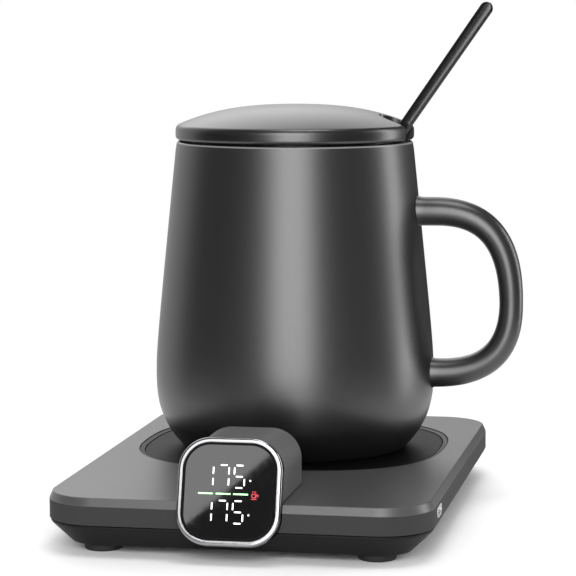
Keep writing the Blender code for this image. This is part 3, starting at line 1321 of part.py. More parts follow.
bowl_shares = (
    (0, 0.12, 0), (0.03, 0.38, 0.12), (0.1, 0.63, 0.42), (0.22, 0.84, 0.75), (0.38, 0.98, 0.97),
    (0.54, 1, 1), (0.7, 0.92, 0.85), (0.83, 0.73, 0.55), (0.94, 0.48, 0.25), (1.06, 0.26, 0.06),
)
spoon_rings = []
for along, width, dish in bowl_shares:
    thickness = BOWL_THICKNESS + (NECK_THICKNESS - BOWL_THICKNESS) * max(along - 0.7, 0) / 0.36
    spoon_rings.append(spoon_ring(
        BOWL_LENGTH * along, BOWL_HALF_WIDTH * width, thickness, BOWL_DEPTH * dish
    ))
bar_start = BOWL_LENGTH * 1.25
bar_length = SPOON_LENGTH - bar_start
for along in (0, 0.5):
    half_width = NECK_HALF_WIDTH + (SPOON_END_HALF_WIDTH - NECK_HALF_WIDTH) * along
    thickness = NECK_THICKNESS + (SPOON_END_THICKNESS - NECK_THICKNESS) * along
    spoon_rings.append(spoon_ring(bar_start + bar_length * along, half_width, thickness, 0))
for before_end, width in ((1, 1), (0.5, 0.87), (0.13, 0.5), (0, 0.15)):
    spoon_rings.append(spoon_ring(
        SPOON_LENGTH - SPOON_END_HALF_WIDTH * before_end, SPOON_END_HALF_WIDTH * width,
        SPOON_END_THICKNESS, 0,
    ))
place(loft("spoon", spoon_rings), SPOON_STEEL, SPOON)
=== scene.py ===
"""The dressed self heating mug: a lidded mug with its spoon, on a warming base with a display."""

import math

import bmesh
import bpy
from mathutils import Matrix, Vector


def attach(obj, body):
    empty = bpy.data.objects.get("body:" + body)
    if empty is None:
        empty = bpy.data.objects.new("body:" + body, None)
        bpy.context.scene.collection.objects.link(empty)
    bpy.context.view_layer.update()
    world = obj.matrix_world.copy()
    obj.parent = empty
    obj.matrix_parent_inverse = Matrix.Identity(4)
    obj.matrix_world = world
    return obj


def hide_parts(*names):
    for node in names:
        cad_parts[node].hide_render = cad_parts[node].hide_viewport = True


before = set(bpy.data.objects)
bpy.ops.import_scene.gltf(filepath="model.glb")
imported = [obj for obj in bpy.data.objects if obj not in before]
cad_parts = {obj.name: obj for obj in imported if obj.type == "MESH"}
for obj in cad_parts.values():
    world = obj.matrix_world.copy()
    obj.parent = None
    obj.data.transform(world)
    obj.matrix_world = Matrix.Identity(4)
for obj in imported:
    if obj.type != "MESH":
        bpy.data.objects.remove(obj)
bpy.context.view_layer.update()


# Base bottom cover: a tray moulded in black plastic, with a fine matt grain and a slanting flank.
# It takes the feet in four shallow recesses, and its tongue enters the cover above it.

MM = 0.001
WELD = 0.001 * MM
SMOOTH_ANGLE = math.radians(23)
CORNER_STEPS = 14


def mm(*sizes):
    """Sizes in millimetres, given back in metres."""
    return [size * MM for size in sizes]


HALF_WIDTH, HALF_DEPTH, CORNER = mm(57.5, 82.5, 16)
SEAM_HEIGHT, SEAM_GAP = mm(7.1, 0.3)
SHELL_SETBACK, SHELL_WALL = mm(0.4, 1.6)
FLANK_RUN, FLANK_TOP, FLANK_EDGE = mm(6.5, 6.2, 0.3)
FLANK_SLOPE = FLANK_RUN / FLANK_TOP
FLANK_STRAIGHT = mm(0.7, 5.7)
UNDERSIDE_EDGE = (mm(0, 0), mm(0.36, 0.1), mm(0.58, 0.27))
LIP_SETBACK, LIP_HEIGHT = mm(2.2, 2.8)
FOOT_X, FOOT_Y, FOOT_RADIUS, FOOT_SEAT, SEAT_ROOM, SEAT_LOW = mm(41, 69, 5.6, 0.6, 0.2, -5)


def rounded_square(half_x, half_y, corner, steps=CORNER_STEPS, middle=(0, 0)):
    """Points of a rectangle with round corners, counter-clockwise from its right side."""
    points = []
    for turn, (sx, sy) in enumerate(((1, 1), (-1, 1), (-1, -1), (1, -1))):
        for step in range(steps + 1):
            angle = math.pi / 2 * (turn + step / steps)
            points.append((
                middle[0] + sx * (half_x - corner) + corner * math.cos(angle),
                middle[1] + sy * (half_y - corner) + corner * math.sin(angle),
            ))
    return points


def tidied(name, work):
    """Welds a shape, turns its faces outwards and gives it smooth shading with crisp edges."""
    bmesh.ops.remove_doubles(work, verts=work.verts, dist=WELD)
    bmesh.ops.recalc_face_normals(work, faces=work.faces)
    mesh = bpy.data.meshes.new(name)
    work.to_mesh(mesh)
    work.free()
    mesh.shade_smooth()
    mesh.set_sharp_from_angle(angle=SMOOTH_ANGLE)
    return mesh


def placed(name, data):
    """An object in the scene from a mesh, a curve, a lamp or a lens."""
    made = bpy.data.objects.new(name, data)
    bpy.context.scene.collection.objects.link(made)
    return made


def skinned(name, rings, endless=False):
    """A closed body through a row of rings that have equal counts of points."""
    work = bmesh.new()
    rows = [[work.verts.new(point) for point in ring] for ring in rings]
    for low, high in zip(rows, rows[1:] + rows[:1] if endless else rows[1:]):
        for step in range(len(low)):
            after = (step + 1) % len(low)
            work.faces.new((low[step], low[after], high[after], high[step]))
    if not endless:
        work.faces.new(rows[0])
        work.faces.new(rows[-1])
    return placed(name, tidied(name, work))


def plain_mesh(piece):
    """What a piece's modifiers make of it, as a mesh of its own."""
    bpy.context.view_layer.update()
    graph = bpy.context.evaluated_depsgraph_get()
    return bpy.data.meshes.new_from_object(piece.evaluated_get(graph))


def baked(piece):
    """Replaces a piece's mesh by what its modifiers make of it, and takes them off."""
    mesh = plain_mesh(piece)
    piece.modifiers.clear()
    work = bmesh.new()
    work.from_mesh(mesh)
    piece.data = tidied(piece.name, work)
    for stuff in mesh.materials:
        piece.data.materials.append(stuff)
    return piece


def cut_away(piece, *tools, kept=()):
    """Cuts tools out of a piece for good. Only the kept ones stay for another cut."""
    for tool in (*tools, *kept):
        step = piece.modifiers.new(tool.name, "BOOLEAN")
        step.operation = "DIFFERENCE"
        step.solver = "EXACT"
        step.object = tool
    baked(piece)
    for tool in tools:
        bpy.data.objects.remove(tool)
    return piece


def softened(piece, width):
    """Rounds every crisp edge of a piece a little, as a mould or a polish leaves it."""
    edge = piece.modifiers.new("soft_edges", "BEVEL")
    edge.width = width
    edge.segments = 3
    edge.limit_method = "ANGLE"
    edge.angle_limit = SMOOTH_ANGLE
    edge.harden_normals = True
    return baked(piece)


def fit(piece, stuff, body, slot, *nodes):
    """Gives a finished piece even shading, its material, its body and the nodes it stands for."""
    even = piece.modifiers.new("even_shading", "WEIGHTED_NORMAL")
    even.keep_sharp = True
    piece.data = plain_mesh(piece)
    piece.modifiers.clear()
    piece.data.materials.clear()
    piece.data.materials.append(stuff)
    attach(piece, body)
    if nodes:
        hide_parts(*nodes)


def add(tree, kind, inputs=None, **settings):
    """A node with its settings. Its inputs take values, sockets, or other nodes' first outputs."""
    made = tree.nodes.new(kind)
    for name, value in settings.items():
        setattr(made, name, value)
    for key, value in (inputs or {}).items():
        source = value.outputs[0] if isinstance(value, bpy.types.Node) else value
        if isinstance(source, bpy.types.NodeSocket):
            tree.links.new(source, made.inputs[key])
        else:
            made.inputs[key].default_value = source
    return made


def ramped(tree, value, start, end, low=0.0, high=1.0, **settings):
    """Turns a value between a start and an end into one between a low and a high."""
    return add(tree, "ShaderNodeMapRange", {
        "Value": value, "From Min": start, "From Max": end, "To Min": low, "To Max": high,
    }, **settings)


def blended(tree, share, first, second, **settings):
    """A colour between two others, as far as a share says."""
    inputs = {0: share, 6: first, 7: second}
    return add(tree, "ShaderNodeMix", inputs, data_type="RGBA", **settings).outputs[2]


def surface(name, colour, roughness, grain, rise, mottle=0.08, spread=0.04, **shader_values):
    """A shader with a slow drift of tone and a fine grain, its size and rise in millimetres."""
    made = bpy.data.materials.new(name)
    made.use_nodes = True
    tree = made.node_tree
    inputs = tree.nodes["Principled BSDF"].inputs
    for label, value in shader_values.items():
        inputs[label.replace("_", " ")].default_value = value
    place = add(tree, "ShaderNodeTexCoord").outputs["Object"]
    fine, slow = [
        add(tree, "ShaderNodeTexNoise", {
            "Vector": place, "Scale": share / (grain * MM), "Detail": detail,
        }) for share, detail in ((1, 3.0), (0.03, 2.0))
    ]
    polish = ramped(tree, fine, 0.3, 0.7, roughness - spread, roughness + spread)
    relief = add(tree, "ShaderNodeBump", {"Strength": 0.5, "Distance": rise * MM, "Height": fine})
    dark, light = [(*[part * level for part in colour], 1) for level in (1 - mottle, 1 + mottle)]
    tree.links.new(polish.outputs[0], inputs["Roughness"])
    tree.links.new(relief.outputs[0], inputs["Normal"])
    tree.links.new(blended(tree, slow, dark, light), inputs["Base Color"])
    return made


def base_form(name, stations):
    """A form with the base's outline, through stations of inset and height."""
    rings = []
    for inset, z in stations:
        outline = rounded_square(HALF_WIDTH - inset, HALF_DEPTH - inset, CORNER - inset)
        rings.append([(x, y, z) for x, y in outline])
    return skinned(name, rings)


def flank(height, inward=0.0):
    """A station on the slanting flank at a height, drawn inwards."""
    return SHELL_SETBACK + inward + (FLANK_TOP - height) * FLANK_SLOPE, height


POD_HALF_X, POD_LOW, POD_TOP, POD_CORNER = mm(15, 3.1, 31.9, 9)
POD_MIDDLE, POD_HALF_Z = (POD_TOP + POD_LOW) / 2, (POD_TOP - POD_LOW) / 2
POD_SKIRT_Y, POD_WELL_Y, FRONT_CLEAR, MOUTH_ROOM, WELL_WALL = mm(-78.2, -66, -90, 0.5, 1.8)


def pod_section(inset):
    """The pod's outline of X and Z, drawn in by an inset."""
    return rounded_square(
        POD_HALF_X - inset, POD_HALF_Z - inset, POD_CORNER - inset, middle=(0, POD_MIDDLE)
    )


def along_y(section, *places):
    """A section of X and Z, repeated at places along Y."""
    return [[(x, y, z) for x, z in section] for y in places]


pod_mouth = skinned("pod_mouth", along_y(
    pod_section(-MOUTH_ROOM), POD_SKIRT_Y + SEAM_GAP, FRONT_CLEAR
))
pod_well = skinned("pod_well", along_y(pod_section(WELL_WALL), POD_WELL_Y, FRONT_CLEAR))
shell_top = SEAM_HEIGHT - SEAM_GAP
flank_wall = SHELL_WALL * math.hypot(1, FLANK_SLOPE)
tongue_inner = LIP_SETBACK + SHELL_WALL
underside = SHELL_SETBACK + FLANK_RUN + FLANK_EDGE
shell_stations = [(underside - inset, z) for inset, z in UNDERSIDE_EDGE]
shell_stations += [flank(height) for height in FLANK_STRAIGHT]
shell_stations += [
    (SHELL_SETBACK + 0.22 * MM, FLANK_TOP - 0.15 * MM), (SHELL_SETBACK, FLANK_TOP + 0.2 * MM),
    (SHELL_SETBACK, shell_top), (LIP_SETBACK, shell_top), (LIP_SETBACK, shell_top + LIP_HEIGHT),
    (tongue_inner, shell_top + LIP_HEIGHT),
    (tongue_inner, FLANK_TOP - (tongue_inner - SHELL_SETBACK - flank_wall) / FLANK_SLOPE),
    flank(SHELL_WALL, flank_wall),
]
seats = bmesh.new()
seat_radius = FOOT_RADIUS + SEAT_ROOM
for sx, sy in ((-1, -1), (-1, 1), (1, -1), (1, 1)):
    middle = Matrix.Translation((sx * FOOT_X, sy * FOOT_Y, (FOOT_SEAT + SEAT_LOW) / 2))
    bmesh.ops.create_cone(
        seats, cap_ends=True, segments=40, radius1=seat_radius, radius2=seat_radius,
        depth=FOOT_SEAT - SEAT_LOW, matrix=middle,
    )
bottom_shell = cut_away(
    base_form("bottom_shell", shell_stations), placed("foot_seats", tidied("foot_seats", seats)),
    kept=(pod_mouth, pod_well),
)
shell_plastic = surface(
    "matt_black_plastic", (0.0035, 0.0035, 0.0037), 0.55, 0.35, 0.008, Specular_IOR_Level=0.2
)
fit(bottom_shell, shell_plastic, "base", "shell_black", "base_bottom_cover")


# Rubber feet: four round pads, moulded with a small edge radius and pressed into the tray's
# recesses over the case screws. One tree turns the foot's profile and sets it at four places.

FOOT_THICKNESS, FOOT_EDGE, FOOT_HOLLOW = mm(2.5, 0.6, 0.3)


def reckoned(tree, operation, *terms, whole=False):
    """A step of arithmetic in a tree, on sockets or plain numbers."""
    kind = "FunctionNodeIntegerMath" if whole else "ShaderNodeMath"
    return add(tree, kind, dict(enumerate(terms)), operation=operation)


def started_tree(name, inputs):
    """A tree with named inputs, given with their kinds, that puts out one shape."""
    tree = bpy.data.node_groups.new(name, "GeometryNodeTree")
    tree.is_modifier = True
    for label, kind in inputs.items():
        tree.interface.new_socket(name=label, in_out="INPUT", socket_type="NodeSocket" + kind)
    tree.interface.new_socket(name="Shape", in_out="OUTPUT", socket_type="NodeSocketGeometry")
    return tree, add(tree, "NodeGroupInput").outputs


def ended_tree(tree, shape, finish):
    """Ends a tree: its copies become real and take their material."""
    real = add(tree, "GeometryNodeRealizeInstances", {"Geometry": shape})
    stuff = add(tree, "GeometryNodeSetMaterial", {"Geometry": real, "Material": finish})
    add(tree, "NodeGroupOutput", {0: stuff})
    return tree


def turning_tree(name, at_four_places=False):
    """Turns a profile of radius and height about the upright axis, once or at four places."""
    inputs = {"Profile": "Geometry", "Facets": "Int", "Finish": "Material"}
    if at_four_places:
        inputs.update({"Spread X": "Float", "Spread Y": "Float"})
    tree, given = started_tree(name, inputs)
    count = add(tree, "GeometryNodeAttributeDomainSize", {"Geometry": given["Profile"]})
    around = reckoned(tree, "ADD", given["Facets"], 1, whole=True)
    sheet = add(tree, "GeometryNodeMeshGrid", {"Vertices X": count, "Vertices Y": around})
    index = add(tree, "GeometryNodeInputIndex")
    column = reckoned(tree, "MODULO", index, around, whole=True)
    share = reckoned(tree, "DIVIDE", column, given["Facets"])
    point = add(tree, "GeometryNodeSampleIndex", {
        "Geometry": given["Profile"], "Value": add(tree, "GeometryNodeInputPosition"),
        "Index": reckoned(tree, "DIVIDE_FLOOR", index, around, whole=True),
    }, data_type="FLOAT_VECTOR")
    swing = add(tree, "ShaderNodeVectorRotate", {
        "Vector": point, "Angle": reckoned(tree, "MULTIPLY", share, 2 * math.pi),
    }, rotation_type="Z_AXIS")
    shaped = add(tree, "GeometryNodeSetPosition", {"Geometry": sheet, "Position": swing})
    body = add(tree, "GeometryNodeMergeByDistance", {"Geometry": shaped, "Distance": WELD})
    if at_four_places:
        spots = add(tree, "GeometryNodeMeshGrid", {
            "Size X": given["Spread X"], "Size Y": given["Spread Y"],
            "Vertices X": 2, "Vertices Y": 2,
        })
        body = add(tree, "GeometryNodeInstanceOnPoints", {"Points": spots, "Instance": body})
    return ended_tree(tree, body, given["Finish"])


def run_tree(name, tree, mesh, **inputs):
    """Runs a tree on a mesh and keeps the result as a plain piece."""
    made = placed(name, mesh)
    step = made.modifiers.new(tree.name, "NODES")
    step.node_group = tree
    for item in tree.interface.items_tree:
        label = item.name.replace(" ", "_")
        if item.item_type == "SOCKET" and item.in_out == "INPUT" and label in inputs:
            step[item.identifier] = inputs[label]
    return baked(made)


def turned(name, profile, stuff, tree=None, facets=160, **inputs):
    """A round piece from its profile, given as pairs of radius and height."""
    mesh = bpy.data.meshes.new(name + "_profile")
    edges = [(step, step + 1) for step in range(len(profile) - 1)]
    mesh.from_pydata([(radius, 0, z) for radius, z in profile], edges, [])
    return run_tree(name, tree or turning, mesh, Facets=facets, Finish=stuff, **inputs)


def arc(middle, radius, start, end, steps=6):
    """Points on an arc of a profile, between two angles in degrees."""
    points = []
    for step in range(steps + 1):
        angle = math.radians(start + (end - start) * step / steps)
        points.append((middle[0] + radius * math.cos(angle), middle[1] + radius * math.sin(angle)))
    return points


def numbered(name, count):
    """Names of equal parts, counted from 1."""
    return [f"{name}_{spot}" for spot in range(1, count + 1)]


turning = turning_tree("turning")
foot_top = FOOT_SEAT - SEAM_GAP
foot_low = foot_top - FOOT_THICKNESS
foot_profile = [(0, foot_top), (FOOT_RADIUS, foot_top)]
foot_profile += arc((FOOT_RADIUS - FOOT_EDGE, foot_low + FOOT_EDGE), FOOT_EDGE, 0, -90)
foot_profile += [
    (FOOT_RADIUS * 0.62, foot_low), (FOOT_RADIUS * 0.58, foot_low + FOOT_HOLLOW),
    (0, foot_low + FOOT_HOLLOW),
]
foot_rubber = surface("black_foot_rubber", (0.007, 0.007, 0.007), 0.75, 0.2, 0.02)
feet = turned(
    "rubber_feet", foot_profile, foot_rubber, turning_tree("feet", at_four_places=True), 48,
    Spread_X=2 * FOOT_X, Spread_Y=2 * FOOT_Y,
)
fit(feet, foot_rubber, "base", "rubber_black", *numbered("rubber_foot", 4))


# Base top cover: a moulded cover in satin grey paint with a fine metallic fleck. A narrow bevel
# runs round its top, and it opens for the plate, the pod and the power inlet.

BASE_HEIGHT, COVER_WALL, BEVEL_WIDTH, BEVEL_HEIGHT, TOP_EDGE = mm(15.2, 1.8, 1.0, 2.3, 0.25)
PLATE_Y, PLATE_OPENING, FLECK_SIZE = mm(21, 49.4, 0.12)
PLATE_POWER, PLATE_STEPS = 2.6, 144
INLET_Y, INLET_Z, INLET_WIDTH, INLET_HEIGHT = mm(-57, 10.25, 9, 3.3)
PLATE_CUT, INLET_CUT = mm(5, 25), mm(50, 65)


def full_turn(count):
    """Equal steps of angle, once round."""
    return [2 * math.pi * step / count for step in range(count)]


def plate_form(name, stations, endless=False):
    """A form with the plate's outline, nearly square, through stations of half width and height."""
    rings = []
    for half, z in stations:
        ring = []
        for turn in full_turn(PLATE_STEPS):
            c, s = math.cos(turn), math.sin(turn)
            reach = half / (abs(c) ** PLATE_POWER + abs(s) ** PLATE_POWER) ** (1 / PLATE_POWER)
            ring.append((reach * c, PLATE_Y + reach * s, z))
        rings.append(ring)
    return skinned(name, rings, endless)


def opened(stuff):
    """A material's tree, its shader's inputs, and the place that its textures read."""
    tree = stuff.node_tree
    place = next(item for item in tree.nodes if item.type == "TEX_COORD").outputs["Object"]
    return tree, tree.nodes["Principled BSDF"].inputs, place


def laid_over(tree, inputs, share, colour, **settings):
    """Lays a colour over a shader's own, as far as a share says."""
    own = inputs["Base Color"].links[0].from_socket
    tree.links.new(blended(tree, share, own, (*colour, 1), **settings), inputs["Base Color"])


def climbed(tree, place, start, end):
    """How far a place's height has come from one height to another, from 0 to 1."""
    return ramped(tree, add(tree, "ShaderNodeSeparateXYZ", {0: place}).outputs["Z"], start, end)


def fleck(stuff, size, amount):
    """Adds small bright flakes to a paint's tone."""
    tree, inputs, place = opened(stuff)
    flakes = add(tree, "ShaderNodeTexVoronoi", {"Vector": place, "Scale": 1 / size})
    bright = ramped(tree, flakes, 0.35, 0.0, 0.0, amount)
    laid_over(tree, inputs, bright, (1, 1, 1), blend_type="ADD")
    return stuff


def rough_and_shaded_below(stuff, height, roughness, shade):
    """Makes a paint rougher below a height, and darkens its colour there: painted shade on the side
    band.
    """
    tree, inputs, place = opened(stuff)
    side = climbed(tree, place, height, height - 0.2 * MM)
    dry = add(tree, "ShaderNodeMix", {
        "Factor": side, "A": inputs["Roughness"].links[0].from_socket, "B": roughness,
    })
    tree.links.new(dry.outputs[0], inputs["Roughness"])
    # Painted shade: a darker colour laid over the paint below the height.
    laid_over(tree, inputs, side, shade)
    return stuff


cover = base_form("top_cover", [
    (COVER_WALL, BASE_HEIGHT - COVER_WALL), (COVER_WALL, SEAM_HEIGHT), (0.2 * MM, SEAM_HEIGHT),
    (0, SEAM_HEIGHT + 0.2 * MM), (0, BASE_HEIGHT - BEVEL_HEIGHT),
    (BEVEL_WIDTH, BASE_HEIGHT - 0.12 * MM), (BEVEL_WIDTH + TOP_EDGE, BASE_HEIGHT),
])
inlet_half = INLET_HEIGHT / 2 + SEAM_GAP
inlet_outline = rounded_square(
    INLET_WIDTH / 2 + SEAM_GAP, inlet_half, inlet_half, 8, (INLET_Y, INLET_Z)
)
# Below the bevel the paint turns rougher, and its colour is darkened there: painted shade on the
# cover's side band.
cover_paint = rough_and_shaded_below(fleck(surface(
    "satin_grey_paint", (0.052, 0.051, 0.053), 0.38, 0.4, 0.002, Specular_IOR_Level=0.7,
), FLECK_SIZE, 0.04), BASE_HEIGHT - BEVEL_HEIGHT, 0.88, (0.015, 0.0147, 0.0152))
top_cover = cut_away(
    cover, plate_form("plate_opening", [(PLATE_OPENING, z) for z in PLATE_CUT]), pod_mouth,
    pod_well, skinned("inlet_opening", [[(x, y, z) for y, z in inlet_outline] for x in INLET_CUT]),
)
fit(top_cover, cover_paint, "base", "cover_grey", "base_top_cover")


# Warming plate and its trim: a pressed aluminium plate under a dark heat-proof coating, held from
# below, with a grey silicone ring that seals the joint to the cover.

TRIM_WIDTH, TRIM_EDGE, PLATE_GAP, PLATE_EDGE = mm(1.6, 0.3, 0.1, 0.4)
PLATE_TOP, PLATE_BOTTOM, FLANGE_REACH = mm(14.6, 11.6, 2.1)
trim_outer = PLATE_OPENING - PLATE_GAP
trim_inner = trim_outer - TRIM_WIDTH
plate_half = trim_inner - PLATE_GAP
flange_top = BASE_HEIGHT - COVER_WALL - SEAM_GAP
plate_stations = [
    (PLATE_OPENING + FLANGE_REACH, PLATE_BOTTOM), (PLATE_OPENING + FLANGE_REACH, flange_top),
    (plate_half, flange_top),
]
plate_stations += arc((plate_half - PLATE_EDGE, PLATE_TOP - PLATE_EDGE), PLATE_EDGE, 0, 90)
plate_coating = surface(
    "dark_plate_coating", (0.0022, 0.0022, 0.0023), 0.5, 0.5, 0.004, Specular_IOR_Level=0.08
)
warming_plate = plate_form("warming_plate", plate_stations)
fit(warming_plate, plate_coating, "base", "plate_coat", "heating_plate")
trim_top = BASE_HEIGHT - 0.2 * MM
trim_stations = [(trim_inner, flange_top + SEAM_GAP), (trim_outer, flange_top + SEAM_GAP)]
trim_stations += arc((trim_outer - TRIM_EDGE, trim_top - TRIM_EDGE), TRIM_EDGE, 0, 90, 4)
trim_stations += [(trim_inner, trim_top - TRIM_EDGE)]
trim_silicone = surface(
    "dark_grey_silicone", (0.012, 0.0115, 0.012), 0.5, 0.3, 0.006, Specular_IOR_Level=0.25
)
trim_ring = plate_form("trim_ring", trim_stations, endless=True)
fit(trim_ring, trim_silicone, "base", "silicone_grey", "plate_trim_ring")


# Parts inside the base and the pod, and the power inlet in the side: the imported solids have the
# right shape, so each gets its finish only.

inside_finishes = [
    (surface("bright_steel", (0.7, 0.7, 0.72), 0.35, 0.3, 0.004, Metallic=1.0), [
        "clamp_plate", "capacitor", "inlet_shell", *numbered("case_screw", 4),
        *numbered("clamp_screw", 4), *numbered("board_screw", 2), *numbered("pod_screw", 2),
    ]),
    (surface("heater_film", (0.42, 0.16, 0.045), 0.4, 0.5, 0.01, Metallic=0.4), ["heater_disc"]),
    (surface("felted_fibre", (0.62, 0.6, 0.54), 0.9, 0.4, 0.08, 0.15), ["insulation_pad"]),
    (surface("board_lacquer", (0.02, 0.12, 0.045), 0.4, 0.6, 0.01, 0.15), [
        "main_board", "display_board",
    ]),
    (surface("black_moulding", (0.014, 0.014, 0.015), 0.5, 0.3, 0.01), [
        "inductor", "control_chip", "power_transistor", "buzzer", "temperature_sensor",
    ]),
    (surface("white_moulding", (0.68, 0.68, 0.65), 0.45, 0.4, 0.008, 0.04), [
        "thermal_fuse", "wire_connector", "display_connector", "display_light_box",
        "display_cable", "inlet_tongue",
    ]),
    (surface("red_sleeve", (0.42, 0.02, 0.02), 0.5, 0.4, 0.01), [
        "heater_wire_tab", "heater_wire_fused",
    ]),
    (surface("white_sleeve", (0.66, 0.66, 0.64), 0.5, 0.4, 0.01, 0.04), [
        "heater_wire_return", *numbered("sensor_wire", 2),
    ]),
]
for stuff, names in inside_finishes:
    for name in names:
        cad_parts[name].material_slots[0].material = stuff


# Pod case: a moulded rounded square tube, closed at the back with a soft edge, in a lighter grey
# paint than the cover's. It stands on the cover, and its skirt enters the mouth in the front.

POD_BACK_Y, POD_WALL, POD_EDGE, BEZEL_DEPTH = mm(-48, 1.6, 1, 3.2)
FACE_Y, FACE_Z, UNDER_HALF, UNDER_LOW, UNDER_TOP = mm(-83, 18.8, 70, -20, 15.5)
POD_TILT = math.radians(16)


def behind_face(z, depth):
    """The Y of the plane that lies behind the tilted face, at a height."""
    return FACE_Y + (z - FACE_Z) * math.tan(POD_TILT) + depth / math.cos(POD_TILT)


case_rings = []
for inset, back in arc((POD_EDGE, POD_EDGE), POD_EDGE, -90, -180):
    case_rings += along_y(pod_section(inset), POD_BACK_Y - back)
for inset in (0, POD_WALL):
    case_rings.append([
        (x, behind_face(z, BEZEL_DEPTH + SEAM_GAP), z) for x, z in pod_section(inset)
    ])
case_rings += along_y(pod_section(POD_WALL), POD_BACK_Y - POD_WALL)
under_pod = skinned("under_pod", [
    [(-UNDER_HALF, POD_SKIRT_Y, z), (UNDER_HALF, POD_SKIRT_Y, z), (UNDER_HALF, 0, z),
     (-UNDER_HALF, 0, z)] for z in (UNDER_LOW, UNDER_TOP)
])
pod_shell = cut_away(skinned("pod_shell", case_rings), under_pod)
pod_paint = fleck(surface(
    "pod_grey_paint", (0.1, 0.098, 0.101), 0.45, 0.4, 0.002, Specular_IOR_Level=0.4,
), FLECK_SIZE, 0.05)
fit(pod_shell, pod_paint, "base", "cover_grey", "pod_case")


# Pod bezel: a cast frame, polished and plated with chrome. Its front is crowned, and a ledge
# inside it holds the window.

BEZEL_HALF_X, BEZEL_HALF_Y, BEZEL_CORNER, CROWN, CROWN_EDGE = mm(15.3, 15.65, 9.4, 0.75, 0.3)
BEZEL_RIM, BEZEL_LEDGE, WINDOW_BACK, RIM_STEP = mm(1.8, 2.9, 1.7, 0.68)
FACE_STEPS = 22
face_place = Matrix.Translation((0, FACE_Y, FACE_Z)) @ Matrix.Rotation(
    math.pi / 2 - POD_TILT, 4, "X"
)


def face_form(name, stations, endless=False):
    """A form with the bezel's outline, through stations of inset and depth behind the face."""
    rings = []
    for inset, depth in stations:
        outline = rounded_square(
            BEZEL_HALF_X - inset, BEZEL_HALF_Y - inset, BEZEL_CORNER - inset, FACE_STEPS
        )
        rings.append([face_place @ Vector((x, y, -depth)) for x, y in outline])
    return skinned(name, rings, endless)


bezel_stations = [(0.15 * MM, BEZEL_DEPTH), (0, BEZEL_DEPTH - 0.15 * MM)]
bezel_stations += arc((CROWN, CROWN), CROWN, 180, 270)
bezel_stations += arc((1.25 * MM, CROWN_EDGE), CROWN_EDGE, -72, 0, 4)
bezel_stations += [
    mm(1.55, 0.66), (BEZEL_RIM, RIM_STEP), (BEZEL_RIM, WINDOW_BACK + SEAM_GAP),
    (BEZEL_LEDGE, WINDOW_BACK + SEAM_GAP), (BEZEL_LEDGE, BEZEL_DEPTH),
]
chrome = surface(
    "polished_chrome", (0.33, 0.33, 0.34), 0.15, 0.8, 0.001, 0.02, 0.02, Metallic=1.0
)
bezel = face_form("bezel", bezel_stations, endless=True)
fit(bezel, chrome, "base", "chrome", "pod_bezel")


# Display window: a pane of black glass with a ground edge, which sits in the bezel just below its
# crown. A black print behind it leaves only the lit marks clear.

WINDOW_GAP, WINDOW_RECESS = mm(0.2, 0.5)
window_edge = BEZEL_RIM + WINDOW_GAP
window_glass = surface(
    "black_display_glass", (0.0015, 0.0015, 0.0016), 0.03, 1.5, 0.0003, 0.05, 0.01,
    Specular_IOR_Level=0.75,
)
window = face_form("window", [
    (window_edge, WINDOW_BACK), (window_edge, WINDOW_RECESS + 0.18 * MM),
    (window_edge + 0.06 * MM, WINDOW_RECESS + 0.07 * MM),
    (window_edge + 0.2 * MM, WINDOW_RECESS),
])
fit(window, window_glass, "base", "display_glass", "display_lens")


# Window gasket: a thin band of black silicone that fills the joint between glass and bezel. It is
# moulded in one loop and pressed in from the front, a little below the crown.

gasket_black = surface(
    "black_gasket_silicone", (0.0015, 0.0015, 0.0015), 0.6, 0.2, 0.002, Specular_IOR_Level=0.1
)
gasket = face_form("window_gasket", [
    (1.5 * MM, RIM_STEP), mm(1.5, 0.5), mm(1.58, 0.45), mm(2.05, 0.45), mm(2.15, 0.5),
    (2.15 * MM, RIM_STEP),
], endless=True)
fit(gasket, gasket_black, "base", "silicone_grey")


# Lit digits: two rows of three, drawn with the lit ones of seven short bars, and a row of three
# green bars between them. One tree lays a rounded bar on every lit place of the window's front.

DIGIT_COLUMNS, DIGIT_ROWS = mm(-6.39, -1.82, 2.79), mm(4.43, -5.82)
DIGIT_HALF_WIDTH, DIGIT_HALF_HEIGHT = mm(1.5, 3.22)
BAR_COLUMNS, BAR_ROW = mm(-6.95, -1.72, 3.42), -0.63 * MM
LIGHT_DEPTH = 0.02 * MM
DIGIT_BAR_SIZE, GREEN_BAR_SIZE = mm(2.05, 0.4), mm(4.4, 0.46)
BAR_ROUNDNESS, BAR_CORNER_STEPS = 0.42, 4
segment_places = {
    "top": (0, 1, 0), "middle": (0, 0, 0), "bottom": (0, -1, 0),
    "upper_left": (-1, 0.5, 1), "upper_right": (1, 0.5, 1),
    "lower_left": (-1, -0.5, 1), "lower_right": (1, -0.5, 1),
}
lit_segments = {
    1: ("upper_right", "lower_right"),
    7: ("top", "upper_right", "lower_right"),
    5: ("top", "upper_left", "middle", "lower_right", "bottom"),
}


